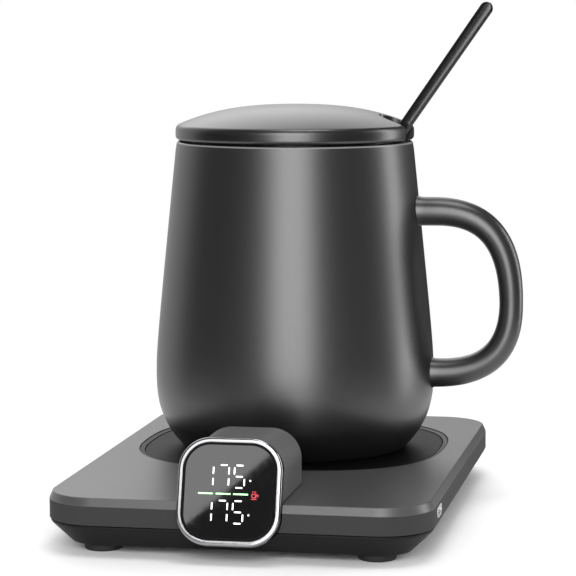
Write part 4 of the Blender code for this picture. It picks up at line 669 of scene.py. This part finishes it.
def bar_tree():
    """Lays one rounded bar on each point, turned by the point's own quarter turns."""
    tree, given = started_tree("light_bars", {
        "Places": "Geometry", "Length": "Float", "Thickness": "Float", "Depth": "Float",
        "Finish": "Material",
    })
    outline = add(tree, "GeometryNodeCurvePrimitiveQuadrilateral", {
        "Width": given["Length"], "Height": given["Thickness"],
    })
    rounded = add(tree, "GeometryNodeFilletCurve", {
        "Curve": outline, "Count": BAR_CORNER_STEPS,
        "Radius": reckoned(tree, "MULTIPLY", given["Thickness"], BAR_ROUNDNESS),
    }, mode="POLY")
    front = add(tree, "GeometryNodeFillCurve", {"Curve": rounded}, mode="NGONS")
    walls = add(tree, "GeometryNodeExtrudeMesh", {"Mesh": front, "Offset Scale": given["Depth"]})
    back = add(tree, "GeometryNodeFlipFaces", {0: front})
    closed = add(tree, "GeometryNodeJoinGeometry", {0: walls})
    tree.links.new(back.outputs[0], closed.inputs[0])
    turns = add(tree, "GeometryNodeInputNamedAttribute", {"Name": "quarter_turns"})
    heading = add(tree, "ShaderNodeCombineXYZ", {
        "Z": reckoned(tree, "MULTIPLY", turns, math.pi / 2),
    })
    copies = add(tree, "GeometryNodeInstanceOnPoints", {
        "Points": given["Places"], "Instance": closed, "Rotation": heading,
    })
    return ended_tree(tree, copies, given["Finish"])


def on_window(piece):
    """Moves a piece drawn flat at the origin onto the window's front."""
    piece.data.transform(face_place @ Matrix.Translation((0, 0, -WINDOW_RECESS)))
    return piece


def light_bars(name, places, stuff, length, thickness):
    """Bars on the window's front at places of X, Y and quarter turns."""
    mesh = bpy.data.meshes.new(name + "_places")
    mesh.from_pydata([(x, y, 0) for x, y, turns in places], [], [])
    turns = mesh.attributes.new("quarter_turns", "FLOAT", "POINT")
    turns.data.foreach_set("value", [float(place[2]) for place in places])
    return on_window(run_tree(
        name, bars, mesh, Length=length, Thickness=thickness, Depth=LIGHT_DEPTH, Finish=stuff
    ))


def glow(name, colour, strength, dimmest):
    """A lit mark: a little uneven, as light through a diffuser is."""
    made = surface(name, colour, 0.3, 0.3, 0.001)
    tree, inputs, place = opened(made)
    inputs["Emission Color"].default_value = (*colour, 1)
    patchy = add(tree, "ShaderNodeTexNoise", {"Vector": place, "Scale": 900.0, "Detail": 1.0})
    level = ramped(tree, patchy, 0.0, 1.0, strength * dimmest, strength)
    tree.links.new(level.outputs[0], inputs["Emission Strength"])
    return made


bars = bar_tree()
white_light = glow("white_digit_light", (1, 1, 1), 1.1, 0.85)
green_light = glow("green_bar_light", (0.45, 0.9, 0.42), 0.75, 0.85)
red_light = glow("red_mark_light", (0.6, 0.03, 0.045), 0.55, 0.8)
digit_places = []
for row in DIGIT_ROWS:
    for column, digit in zip(DIGIT_COLUMNS, (1, 7, 5)):
        for segment in lit_segments[digit]:
            across, up, turns = segment_places[segment]
            digit_places.append((
                column + across * DIGIT_HALF_WIDTH, row + up * DIGIT_HALF_HEIGHT, turns
            ))
digits = light_bars("lit_digits", digit_places, white_light, *DIGIT_BAR_SIZE)
fit(digits, white_light, "base", "plastic_white")
bar_places = [(x, BAR_ROW, 0) for x in BAR_COLUMNS]
green_bars = light_bars("lit_bars", bar_places, green_light, *GREEN_BAR_SIZE)
fit(green_bars, green_light, "base", "plastic_white")


# Lit marks beside the digits: a degree mark for each row, and a small red cup with steam. They
# are cut in the same mask as the digits and lit from behind.

UNIT_PLACES, UNIT_RADII = ((6.03, 3.34), (6.0, -6.55)), (0.26, 0.12)
CUP_X, CUP_Y, STEAM_SHIFTS = 7.4, -0.9, (-0.5, -0.05, 0.4)
CUP_SHAPE = ((-0.85, 0.4), (-0.78, -0.35), (-0.45, -0.72), (0.3, -0.72), (0.62, -0.35), (0.7, 0.4))
CUP_SAUCER = ((-0.95, -1.13), (0.8, -1.13), (0.8, -0.96), (-0.95, -0.96))
STEAM_SHAPE = ((-0.1, 0.62), (0.03, 0.62), (0.11, 0.9), (0.03, 1.3), (-0.09, 1.3), (-0.02, 0.94))
EAR_CUT, EAR_X, EAR_Y, EAR_RADII = CUP_X + 0.76, CUP_X + 0.9, CUP_Y - 0.02, (0.4, 0.22)


def flat_marks(name, outlines):
    """Thin flat shapes from outlines in millimetres. An outline inside another is a hole in it."""
    curve = bpy.data.curves.new(name, "CURVE")
    curve.dimensions = "2D"
    curve.fill_mode = "BOTH"
    curve.extrude = LIGHT_DEPTH / 2
    for outline in outlines:
        spline = curve.splines.new("POLY")
        spline.points.add(len(outline) - 1)
        for point, (x, y) in zip(spline.points, outline):
            point.co = (x * MM, y * MM, 0, 1)
        spline.use_cyclic_u = True
    drawn = placed(name, curve)
    mesh = plain_mesh(drawn)
    bpy.data.objects.remove(drawn)
    mesh.transform(Matrix.Translation((0, 0, LIGHT_DEPTH / 2)))
    return on_window(baked(placed(name, mesh)))


def round_outline(x, y, radius):
    """A circle's outline."""
    return [(x + radius * math.cos(turn), y + radius * math.sin(turn)) for turn in full_turn(20)]


unit_marks = flat_marks("unit_marks", [
    round_outline(x, y, radius) for x, y in UNIT_PLACES for radius in UNIT_RADII
])
fit(unit_marks, white_light, "base", "plastic_white")
ear_outer, ear_inner = [
    [point for point in round_outline(EAR_X, EAR_Y, radius) if point[0] > EAR_CUT]
    for radius in EAR_RADII
]
cup_outlines = [
    [(CUP_X + x, CUP_Y + y) for x, y in CUP_SHAPE],
    [(CUP_X - 0.07 + 0.68 * x, CUP_Y - 0.02 + 0.66 * y) for x, y in CUP_SHAPE],
    ear_outer + ear_inner[::-1],
    [(CUP_X + x, CUP_Y + y) for x, y in CUP_SAUCER],
]
for shift in STEAM_SHIFTS:
    cup_outlines.append([(CUP_X + shift + x, CUP_Y + y) for x, y in STEAM_SHAPE])
cup_mark = flat_marks("cup_mark", cup_outlines)
fit(cup_mark, red_light, "base", "plastic_white")


# Mug body: stoneware, cast and turned, under a satin charcoal glaze. The ground ring of its foot
# stays bare, and the wall tapers up to a rim rounded by hand.

MUG_BOTTOM, MUG_HEIGHT, MUG_WALL = mm(14.9, 99.2, 3.4)
BELLY_RADIUS, BELLY_HEIGHT, BELLY_POWER = 45.15 * MM, 24.6 * MM, 2.75
RIM_RADIUS, TAPER_BLEND, LIP_OUTER, LIP_INNER = mm(38.2, 8.25, 1.0, 1.3)
MUG_FLOOR, FLOOR_CORNER, FLOOR_POWER = 4 * MM, 9 * MM, 3
FOOT_RING_RADIUS, RING_OUTER, RING_OUTER_EDGE, RING_INNER, RING_INNER_EDGE = mm(
    36, 35.2, 0.45, 31.4, 0.4
)
RING_TOP, WELL_FOOT, WELL_RADIUS, WELL_HEIGHT = mm(0.6, 30.2, 29.4, 1.2)
RIM_Z = MUG_BOTTOM + MUG_HEIGHT
taper = (BELLY_RADIUS - RIM_RADIUS) / (
    math.hypot(MUG_HEIGHT - BELLY_HEIGHT, TAPER_BLEND) - TAPER_BLEND
)


def mug_radius(height):
    """The mug's outer radius at a height over its foot."""
    if height < BELLY_HEIGHT:
        share = 1 - height / BELLY_HEIGHT
        return BELLY_RADIUS - (BELLY_RADIUS - FOOT_RING_RADIUS) * share ** BELLY_POWER
    return BELLY_RADIUS - taper * (math.hypot(height - BELLY_HEIGHT, TAPER_BLEND) - TAPER_BLEND)


def cavity_radius(height):
    """The radius of the mug's inside at a height over its foot."""
    if height >= BELLY_HEIGHT:
        return mug_radius(height) - MUG_WALL
    share = (BELLY_HEIGHT - height) / (BELLY_HEIGHT - MUG_FLOOR)
    return BELLY_RADIUS - MUG_WALL - FLOOR_CORNER * share ** FLOOR_POWER


def spaced(low, high, count):
    """Evenly spaced numbers, with both ends."""
    return [low + (high - low) * step / (count - 1) for step in range(count)]


def turned_over_plate(name, profile, height, stuff):
    """A round piece about the mug's own axis, with its profile raised to a height."""
    made = turned(name, [(radius, z + height) for radius, z in profile], stuff)
    made.data.transform(Matrix.Translation((0, PLATE_Y, 0)))
    return made


inner_heights = [
    BELLY_HEIGHT - (BELLY_HEIGHT - MUG_FLOOR) * (1 - share ** 2) for share in spaced(0, 1, 16)
]
inner_heights += spaced(BELLY_HEIGHT, MUG_HEIGHT - LIP_INNER, 30)[1:]
outer_heights = spaced(MUG_HEIGHT - LIP_OUTER, BELLY_HEIGHT, 40)[1:]
outer_heights += spaced(BELLY_HEIGHT, RING_TOP, 36)[1:]
mug_profile = [(cavity_radius(MUG_FLOOR) * share, MUG_FLOOR) for share in (0, 0.5, 0.9, 0.97)]
mug_profile += [(cavity_radius(z), z) for z in inner_heights]
mug_profile += arc(
    (RIM_RADIUS - MUG_WALL + LIP_INNER, MUG_HEIGHT - LIP_INNER), LIP_INNER, 180, 90
)[1:]
mug_profile += arc((RIM_RADIUS - LIP_OUTER, MUG_HEIGHT - LIP_OUTER), LIP_OUTER, 90, 0)
mug_profile += [(mug_radius(z), z) for z in outer_heights]
mug_profile += arc((RING_OUTER, RING_OUTER_EDGE), RING_OUTER_EDGE, -20, -90, 4)
mug_profile += arc((RING_INNER, RING_INNER_EDGE), RING_INNER_EDGE, -90, -160, 4)
mug_profile += [(WELL_FOOT, 1.0 * MM), (WELL_RADIUS, WELL_HEIGHT), (0, WELL_HEIGHT)]
glaze = surface(
    "satin_charcoal_glaze", (0.0066, 0.0062, 0.0067), 0.36, 0.7, 0.002, 0.06, 0.02,
    Specular_IOR_Level=0.98,
)


def toned_between(stuff, name, low, high, colour):
    """A copy of a glaze with another tone between two heights, soft at both."""
    made = stuff.copy()
    made.name = name
    tree, inputs, place = opened(made)
    ends = [
        climbed(tree, place, height, height + soft)
        for height, soft in ((low, 0.1 * MM), (high, -0.1 * MM))
    ]
    laid_over(tree, inputs, reckoned(tree, "MULTIPLY", *ends), colour)
    return made


mug_glaze = toned_between(
    glaze, "glaze_bare_at_foot", MUG_BOTTOM - 1 * MM, MUG_BOTTOM + 0.1 * MM, (0.32, 0.27, 0.22)
)
# A lighter band just under the rim, on the lip's outer rounding, is a painted highlight.
mug_glaze = toned_between(
    mug_glaze, "glaze_thin_at_rim", RIM_Z - 0.75 * MM, RIM_Z - 0.2 * MM, (0.2, 0.19, 0.2)
)
mug = turned_over_plate("mug", mug_profile, MUG_BOTTOM, mug_glaze)
fit(mug, mug_glaze, "mug", "glaze", "mug_body")


# Mug handle: a pulled loop of round section, luted to the wall at both ends, where the glaze runs
# into a small fillet. It thins towards its far side.

HANDLE_TOP, HANDLE_LOW, HANDLE_SIDE, HANDLE_REACH = mm(76.8, 24.6, 47.2, 70.4)
HANDLE_ENDS, HANDLE_MIDDLE, FILLET, FILLET_RISE = mm(4.63, 3.77, 1.2, 0.25)
HANDLE_ROOT, TOP_STRAIGHT, LOW_STRAIGHT, STRAIGHT_PULL = mm(37.5, 46.5, 46, 3)
HANDLE_BEND, HANDLE_FACETS = 0.675, 40


def bezier(points, share):
    """A point on a cubic curve, and its direction."""
    a, b, c, d = [Vector(point) for point in points]
    rest = 1 - share
    place = a * rest ** 3 + 3 * b * rest ** 2 * share + 3 * c * rest * share ** 2 + d * share ** 3
    heading = 3 * ((b - a) * rest ** 2 + 2 * (c - b) * rest * share + (d - c) * share ** 2)
    return place, heading.normalized()


def straight(start, end, height):
    """Four points of a level span between two places along X."""
    pull = math.copysign(STRAIGHT_PULL, end - start)
    return [(x, height) for x in (start, start + pull, end - pull, end)]


top_bend, low_bend = [HANDLE_BEND * (HANDLE_REACH - end) for end in (TOP_STRAIGHT, LOW_STRAIGHT)]
rise, drop = [HANDLE_BEND * (end - HANDLE_SIDE) for end in (HANDLE_TOP, HANDLE_LOW)]
handle_spans = [
    (straight(HANDLE_ROOT, TOP_STRAIGHT, HANDLE_TOP), 1, 1, 10),
    ([(TOP_STRAIGHT, HANDLE_TOP), (TOP_STRAIGHT + top_bend, HANDLE_TOP),
      (HANDLE_REACH, HANDLE_SIDE + rise), (HANDLE_REACH, HANDLE_SIDE)], 1, 0, 32),
    ([(HANDLE_REACH, HANDLE_SIDE), (HANDLE_REACH, HANDLE_SIDE + drop),
      (LOW_STRAIGHT + low_bend, HANDLE_LOW), (LOW_STRAIGHT, HANDLE_LOW)], 0, 1, 32),
    (straight(LOW_STRAIGHT, HANDLE_ROOT, HANDLE_LOW), 1, 1, 10),
]
handle_rings = []
for span, (points, first, last, count) in enumerate(handle_spans):
    for step in range(count if span < 3 else count + 1):
        share = step / count
        place, heading = bezier([(x, 0, z) for x, z in points], share)
        fullness = first + (last - first) * share
        radius = HANDLE_MIDDLE + (HANDLE_ENDS - HANDLE_MIDDLE) * fullness
        stand_off = place.x - mug_radius(place.z)
        if span in (0, 3) and stand_off < FILLET:
            radius += FILLET_RISE * (1 - max(stand_off, 0) / FILLET) ** 2
        side = Vector((-heading.z, 0, heading.x))
        handle_rings.append([
            Vector((0, PLATE_Y, MUG_BOTTOM)) + place
            + radius * (math.cos(turn) * side + math.sin(turn) * Vector((0, 1, 0)))
            for turn in full_turn(HANDLE_FACETS)
        ])
handle = skinned("handle", handle_rings)
fit(handle, glaze, "mug", "glaze", "mug_handle")


# Lid: stoneware under a darker, slightly glossier glaze, a low dome with a plug below it. A notch
# in its edge lets the spoon's stem out.

LID_RADIUS, LID_FOOT_EDGE, LID_FOOT_Z, LID_SIDE_Z, LID_WALL, LID_GAP, LID_HOLLOW = mm(
    38.5, 1.3, 1.7, 2.4, 3.8, 0.4, 28
)
LID_SHOULDER, LID_SHOULDER_Z, LID_TOP, LID_POWER = *mm(37.1, 5.5, 11.6), 2.6
SHOULDER_RUN, SHOULDER_DROP, SHOULDER_Z = mm(1.7, 2.1, 3.4)
PLUG_RADIUS, PLUG_DEPTH, PLUG_INNER, GROOVE_TOP, GROOVE_LOW, GROOVE_FLOOR = mm(
    34.4, -6.1, 30.6, -0.7, -4.9, 32.6
)
NOTCH_WIDTH, NOTCH_INNER, NOTCH_OUTER, NOTCH_REACH = mm(10.6, 28, 50, 20)
NOTCH_TURN = math.radians(-5)


def dome_height(radius):
    """The height of the lid's dome over the rim at a radius."""
    share = radius / LID_SHOULDER
    return LID_SHOULDER_Z + (LID_TOP - LID_SHOULDER_Z) * (1 - share ** LID_POWER)


def notched(piece, room=0.0):
    """Cuts the spoon's notch in a piece, from its round inner end out past the edge."""
    half = NOTCH_WIDTH / 2 + room
    outline = [(NOTCH_OUTER, -half), (NOTCH_OUTER, half)]
    outline += arc((NOTCH_INNER + NOTCH_WIDTH / 2, 0), half, 90, 270, 16)
    notch = skinned("notch", [
        [(x, y, z) for x, y in outline] for z in (RIM_Z - NOTCH_REACH, RIM_Z + NOTCH_REACH)
    ])
    notch.data.transform(
        Matrix.Translation((0, PLATE_Y, 0)) @ Matrix.Rotation(NOTCH_TURN, 4, "Z")
    )
    return cut_away(piece, notch)


lid_profile = [(radius, dome_height(radius)) for radius in spaced(0, LID_SHOULDER, 34)]
lid_profile += [
    (LID_RADIUS - SHOULDER_RUN * (1 - math.sin(turn)), SHOULDER_Z + SHOULDER_DROP * math.cos(turn))
    for turn in [math.radians(6 * step) for step in range(4, 16)]
]
lid_profile += [(LID_RADIUS, LID_SIDE_Z)]
lid_profile += arc((LID_RADIUS - LID_FOOT_EDGE, LID_FOOT_Z), LID_FOOT_EDGE, 0, -90)
lid_profile += [
    (PLUG_RADIUS + 0.3 * MM, LID_GAP), (PLUG_RADIUS, LID_GAP - 0.3 * MM),
    (PLUG_RADIUS, GROOVE_TOP), (GROOVE_FLOOR, GROOVE_TOP), (GROOVE_FLOOR, GROOVE_LOW),
    (PLUG_RADIUS - 0.7 * MM, GROOVE_LOW), (PLUG_RADIUS - 0.4 * MM, GROOVE_LOW - 0.3 * MM),
    (PLUG_RADIUS - 0.4 * MM, PLUG_DEPTH + 0.4 * MM), (PLUG_RADIUS - 0.8 * MM, PLUG_DEPTH),
    (PLUG_INNER + 0.4 * MM, PLUG_DEPTH), (PLUG_INNER, PLUG_DEPTH + 0.4 * MM),
    (PLUG_INNER, 1.2 * MM), (PLUG_INNER - 0.6 * MM, 1.9 * MM),
]
lid_profile += [(radius, dome_height(radius) - LID_WALL) for radius in spaced(LID_HOLLOW, 0, 16)]
lid_glaze = surface(
    "glossier_lid_glaze", (0.002, 0.0019, 0.002), 0.33, 0.8, 0.0008, 0.06, 0.015,
    Specular_IOR_Level=0.98,
)
lid = turned_over_plate("lid", lid_profile, RIM_Z, lid_glaze)
lid = softened(notched(lid), 0.35 * MM)
fit(lid, lid_glaze, "lid", "glaze", "lid_body")


# Lid seal: a soft silicone ring with two fins, stretched into the plug's groove and left open at
# the notch.

SEAL_INNER, SEAL_WEB, SEAL_OUTER, SEAL_HIGH, SEAL_LOW, FIN = mm(32.9, 33.9, 34.5, -1.0, -4.6, 1.4)


def fin(middle):
    """Points down a fin with a blunt edge, about a height."""
    return [
        (SEAL_OUTER - 0.1 * MM, middle + FIN * 0.1), (SEAL_OUTER, middle),
        (SEAL_OUTER - 0.1 * MM, middle - FIN * 0.1),
    ]


seal_profile = [
    (SEAL_INNER, SEAL_HIGH), (SEAL_WEB, SEAL_HIGH), *fin(SEAL_HIGH - FIN / 2),
    (SEAL_WEB, SEAL_HIGH - FIN), (SEAL_WEB, SEAL_LOW + FIN), *fin(SEAL_LOW + FIN / 2),
    (SEAL_WEB, SEAL_LOW), (SEAL_INNER, SEAL_LOW), (SEAL_INNER, SEAL_HIGH),
]
seal = notched(turned_over_plate("seal", seal_profile, RIM_Z, trim_silicone), 0.6 * MM)
fit(seal, trim_silicone, "lid", "silicone_grey", "lid_seal")


# Spoon: pressed and drawn from steel bar and coated satin black. Its bowl lies in the mug, and its
# slim oval stem leans out through the notch and ends round.

TIP_REACH, TIP_HEIGHT, SPOON_ASIDE, SPOON_AT_RIM = mm(-32.937, 5.7, 1, 32.7)
STEM_START, STEM_END, STEM_HALF, STEM_THICKNESS = 42.5, 165.85, 2.15, 1.7
SPOON_FACETS, END_STEPS = 36, 8
spoon_lean = math.atan2(SPOON_AT_RIM - TIP_REACH, MUG_HEIGHT - TIP_HEIGHT)
spoon_place = Matrix.Translation((0, PLATE_Y, MUG_BOTTOM)) @ Matrix.Rotation(
    NOTCH_TURN, 4, "Z"
) @ Matrix.Translation((TIP_REACH, SPOON_ASIDE, TIP_HEIGHT)) @ Matrix.Rotation(spoon_lean, 4, "Y")
spoon_stations = [
    (0, 0.0, 1.1, 0), (1.0, 4.2, 1.1, 0.5), (3.4, 6.9, 1.1, 1.9), (7.5, 9.2, 1.1, 3.4),
    (12.9, 10.8, 1.1, 4.4), (18.4, 11.0, 1.1, 4.5), (23.8, 10.1, 1.1, 3.8),
    (28.2, 8.0, 1.4, 2.5), (32.0, 5.3, 1.7, 1.1), (36.0, 2.9, 1.9, 0.3),
    (STEM_START, 1.6, 1.9, 0), (105.2, 1.87, 1.8, 0), (STEM_END, STEM_HALF, STEM_THICKNESS, 0),
]


def spoon_section(station, half_width, thickness, dish):
    """An oval section, crowned on its back and front, with the bowl's dish in it."""
    ring = []
    for turn in full_turn(SPOON_FACETS):
        across = math.copysign(abs(math.cos(turn)) ** 0.9, math.cos(turn))
        through = math.copysign(abs(math.sin(turn)) ** 0.85, math.sin(turn))
        y = dish * (1 - across ** 2) + through * thickness / 2
        ring.append(spoon_place @ Vector((half_width * across, y, station)))
    return ring


spoon_rings = []
for first, last in zip(spoon_stations, spoon_stations[1:]):
    count = 4 if last[0] <= STEM_START else 8
    for step in range(count):
        share = step / count
        sizes = [a + (b - a) * share for a, b in zip(first, last)]
        if first is spoon_stations[0]:
            sizes[1] = last[1] * math.sqrt(max(1 - (1 - share) ** 2, 0.0004))
        spoon_rings.append(spoon_section(*mm(*sizes)))
for step in range(END_STEPS + 1):
    angle = math.pi / 2 * step / END_STEPS
    spoon_rings.append(spoon_section(*mm(
        STEM_END + STEM_HALF * math.sin(angle), max(STEM_HALF * math.cos(angle), 0.12),
        STEM_THICKNESS, 0,
    )))
spoon_coating = surface(
    "satin_black_coating", (0.003, 0.003, 0.0032), 0.22, 2, 0.0002, 0.05, 0.02,
    Specular_IOR_Level=0.6,
)
spoon = skinned("teaspoon", spoon_rings)
fit(spoon, spoon_coating, "spoon", "spoon_steel", "spoon")


# Studio: a white floor that fades into a white surround, a tall soft key lamp by the camera, a
# strip lamp to the right, lamps behind and overhead, and a small card that the glass mirrors.

EYE = Vector((0.14916, -0.77757, 0.15749))
MUG_MIDDLE = Vector((0, PLATE_Y, 70 * MM))
CAMERA_HEADING = 10.6


def soft_lamp(name, place, width, tall, radiance):
    """A soft lamp of even radiance at a place, given as its full matrix."""
    light = bpy.data.lights.new(name, "AREA")
    light.shape = "RECTANGLE"
    light.size, light.size_y = width, tall
    light.energy = math.pi * radiance * width * tall
    made = placed(name, light)
    made.matrix_world = place
    made.visible_camera = False


def around_mug(heading, height, distance):
    """A place round the mug that faces it, at a heading from the camera's side, in degrees."""
    turn, rise = math.radians(CAMERA_HEADING + heading), math.radians(height)
    away = Vector((
        math.sin(turn) * math.cos(rise), -math.cos(turn) * math.cos(rise), math.sin(rise)
    ))
    return Matrix.Translation(MUG_MIDDLE + away * distance) @ away.to_track_quat(
        "Z", "Y"
    ).to_matrix().to_4x4()


def mirrored_card(start, end, distance, width):
    """A place whose lower edge the window mirrors from one point of its face to another."""
    pane = face_place @ Matrix.Translation((0, 0, -WINDOW_RECESS))
    facing = pane.col[2].to_3d()
    beyond = EYE - 2 * (EYE - pane.translation).dot(facing) * facing
    ends = []
    for x, y in (start, end):
        point = pane @ Vector((x * MM, y * MM, 0))
        ends.append(point + (point - beyond).normalized() * distance)
    along = (ends[0] - ends[1]).normalized()
    away = (sum(ends, Vector()) / 2 - pane.translation).normalized()
    upward = away.cross(along).normalized()
    away = along.cross(upward)
    middle = sum(ends, Vector()) / 2 + upward * width / 2
    return Matrix.Translation(middle) @ Matrix((along, upward, away)).transposed().to_4x4()


soft_lamp("key_lamp", around_mug(-2.5, 13, 1.2), 0.72, 1.16, 5.8)
soft_lamp("right_strip", around_mug(102, 8, 0.9), 0.24, 0.9, 5.6)
soft_lamp("back_lamp", around_mug(-171, 36, 1.2), 1.2, 0.8, 1.5)
soft_lamp("top_lamp", around_mug(35, 82, 1.0), 0.5, 0.42, 5.0)
soft_lamp("glass_card", mirrored_card((10.3, 9.8), (-12.8, -10.3), 0.8, 0.14), 0.22, 0.14, 2.9)

FLOOR_RADIUS, FLOOR_SOLID, FLOOR_END = 1.2, 0.16, 0.4
floor_work = bmesh.new()
bmesh.ops.create_circle(floor_work, cap_ends=True, segments=96, radius=FLOOR_RADIUS)
floor = placed("studio_floor", tidied("studio_floor", floor_work))
floor.location = (0, 0, foot_low)
floor_paint = bpy.data.materials.new("white_floor_paint")
floor_paint.use_nodes = True
floor_tree = floor_paint.node_tree
floor_shader = floor_tree.nodes["Principled BSDF"]
floor_finish = {"Base Color": (0.97, 0.97, 0.97, 1), "Roughness": 0.6, "Specular IOR Level": 0.2}
for label, value in floor_finish.items():
    floor_shader.inputs[label].default_value = value
reach = add(floor_tree, "ShaderNodeVectorMath", {
    0: add(floor_tree, "ShaderNodeTexCoord").outputs["Object"],
}, operation="LENGTH")
fade = ramped(
    floor_tree, reach.outputs["Value"], FLOOR_SOLID, FLOOR_END, interpolation_type="SMOOTHSTEP"
)
faded = add(floor_tree, "ShaderNodeMixShader", {
    0: fade, 1: floor_shader, 2: add(floor_tree, "ShaderNodeBsdfTransparent"),
})
floor_tree.links.new(faded.outputs[0], floor_tree.nodes["Material Output"].inputs["Surface"])
floor.data.materials.append(floor_paint)

WALL_STOPS = ((0.0, 0.2), (0.03, 0.88), (0.205, 0.88), (0.255, 0.15), (1.0, 0.15))
world = bpy.data.worlds.new("white_surround")
bpy.context.scene.world = world
world.use_nodes = True
sky = world.node_tree
around = add(sky, "ShaderNodeSeparateXYZ", {
    0: add(sky, "ShaderNodeTexCoord").outputs["Generated"],
}).outputs
bearing = reckoned(sky, "ARCTAN2", around["X"], reckoned(sky, "MULTIPLY", around["Y"], -1.0))
studio_wall = add(sky, "ShaderNodeValToRGB", {"Fac": ramped(sky, bearing, -math.pi, math.pi)})
stops = studio_wall.color_ramp.elements
for spot, (share, level) in enumerate(WALL_STOPS):
    stop = stops[spot] if spot < 2 else stops.new(share)
    stop.position = share
    stop.color = (level, level, level, 1)
below = ramped(sky, around["Z"], -0.1, 0.02, 2.0, 1.0)
wall_level = reckoned(sky, "POWER", studio_wall, below)
paths = add(sky, "ShaderNodeLightPath").outputs
mirrored = reckoned(sky, "MAXIMUM", paths["Is Glossy Ray"], paths["Is Transmission Ray"])
unseen = blended(sky, mirrored, (0.5, 0.5, 0.5, 1), wall_level)
shown = blended(sky, paths["Is Camera Ray"], unseen, (1, 1, 1, 1))
sky.links.new(shown, sky.nodes["Background"].inputs["Color"])
bpy.context.scene.view_settings.view_transform = "Standard"


# Camera: it stands low and about ten degrees to the right of the front, and looks a little down
# through a long lens.

CAMERA_TURN, CAMERA_DROP, CAMERA_ROLL = 10.741, 6.421, -0.093
lens = bpy.data.cameras.new("camera")
lens.lens = 157.12
camera = placed("camera", lens)
camera.matrix_world = (
    Matrix.Translation(EYE)
    @ Matrix.Rotation(math.radians(CAMERA_TURN), 4, "Z")
    @ Matrix.Rotation(math.radians(90 - CAMERA_DROP), 4, "X")
    @ Matrix.Rotation(math.radians(CAMERA_ROLL), 4, "Z")
)
bpy.context.scene.camera = camera
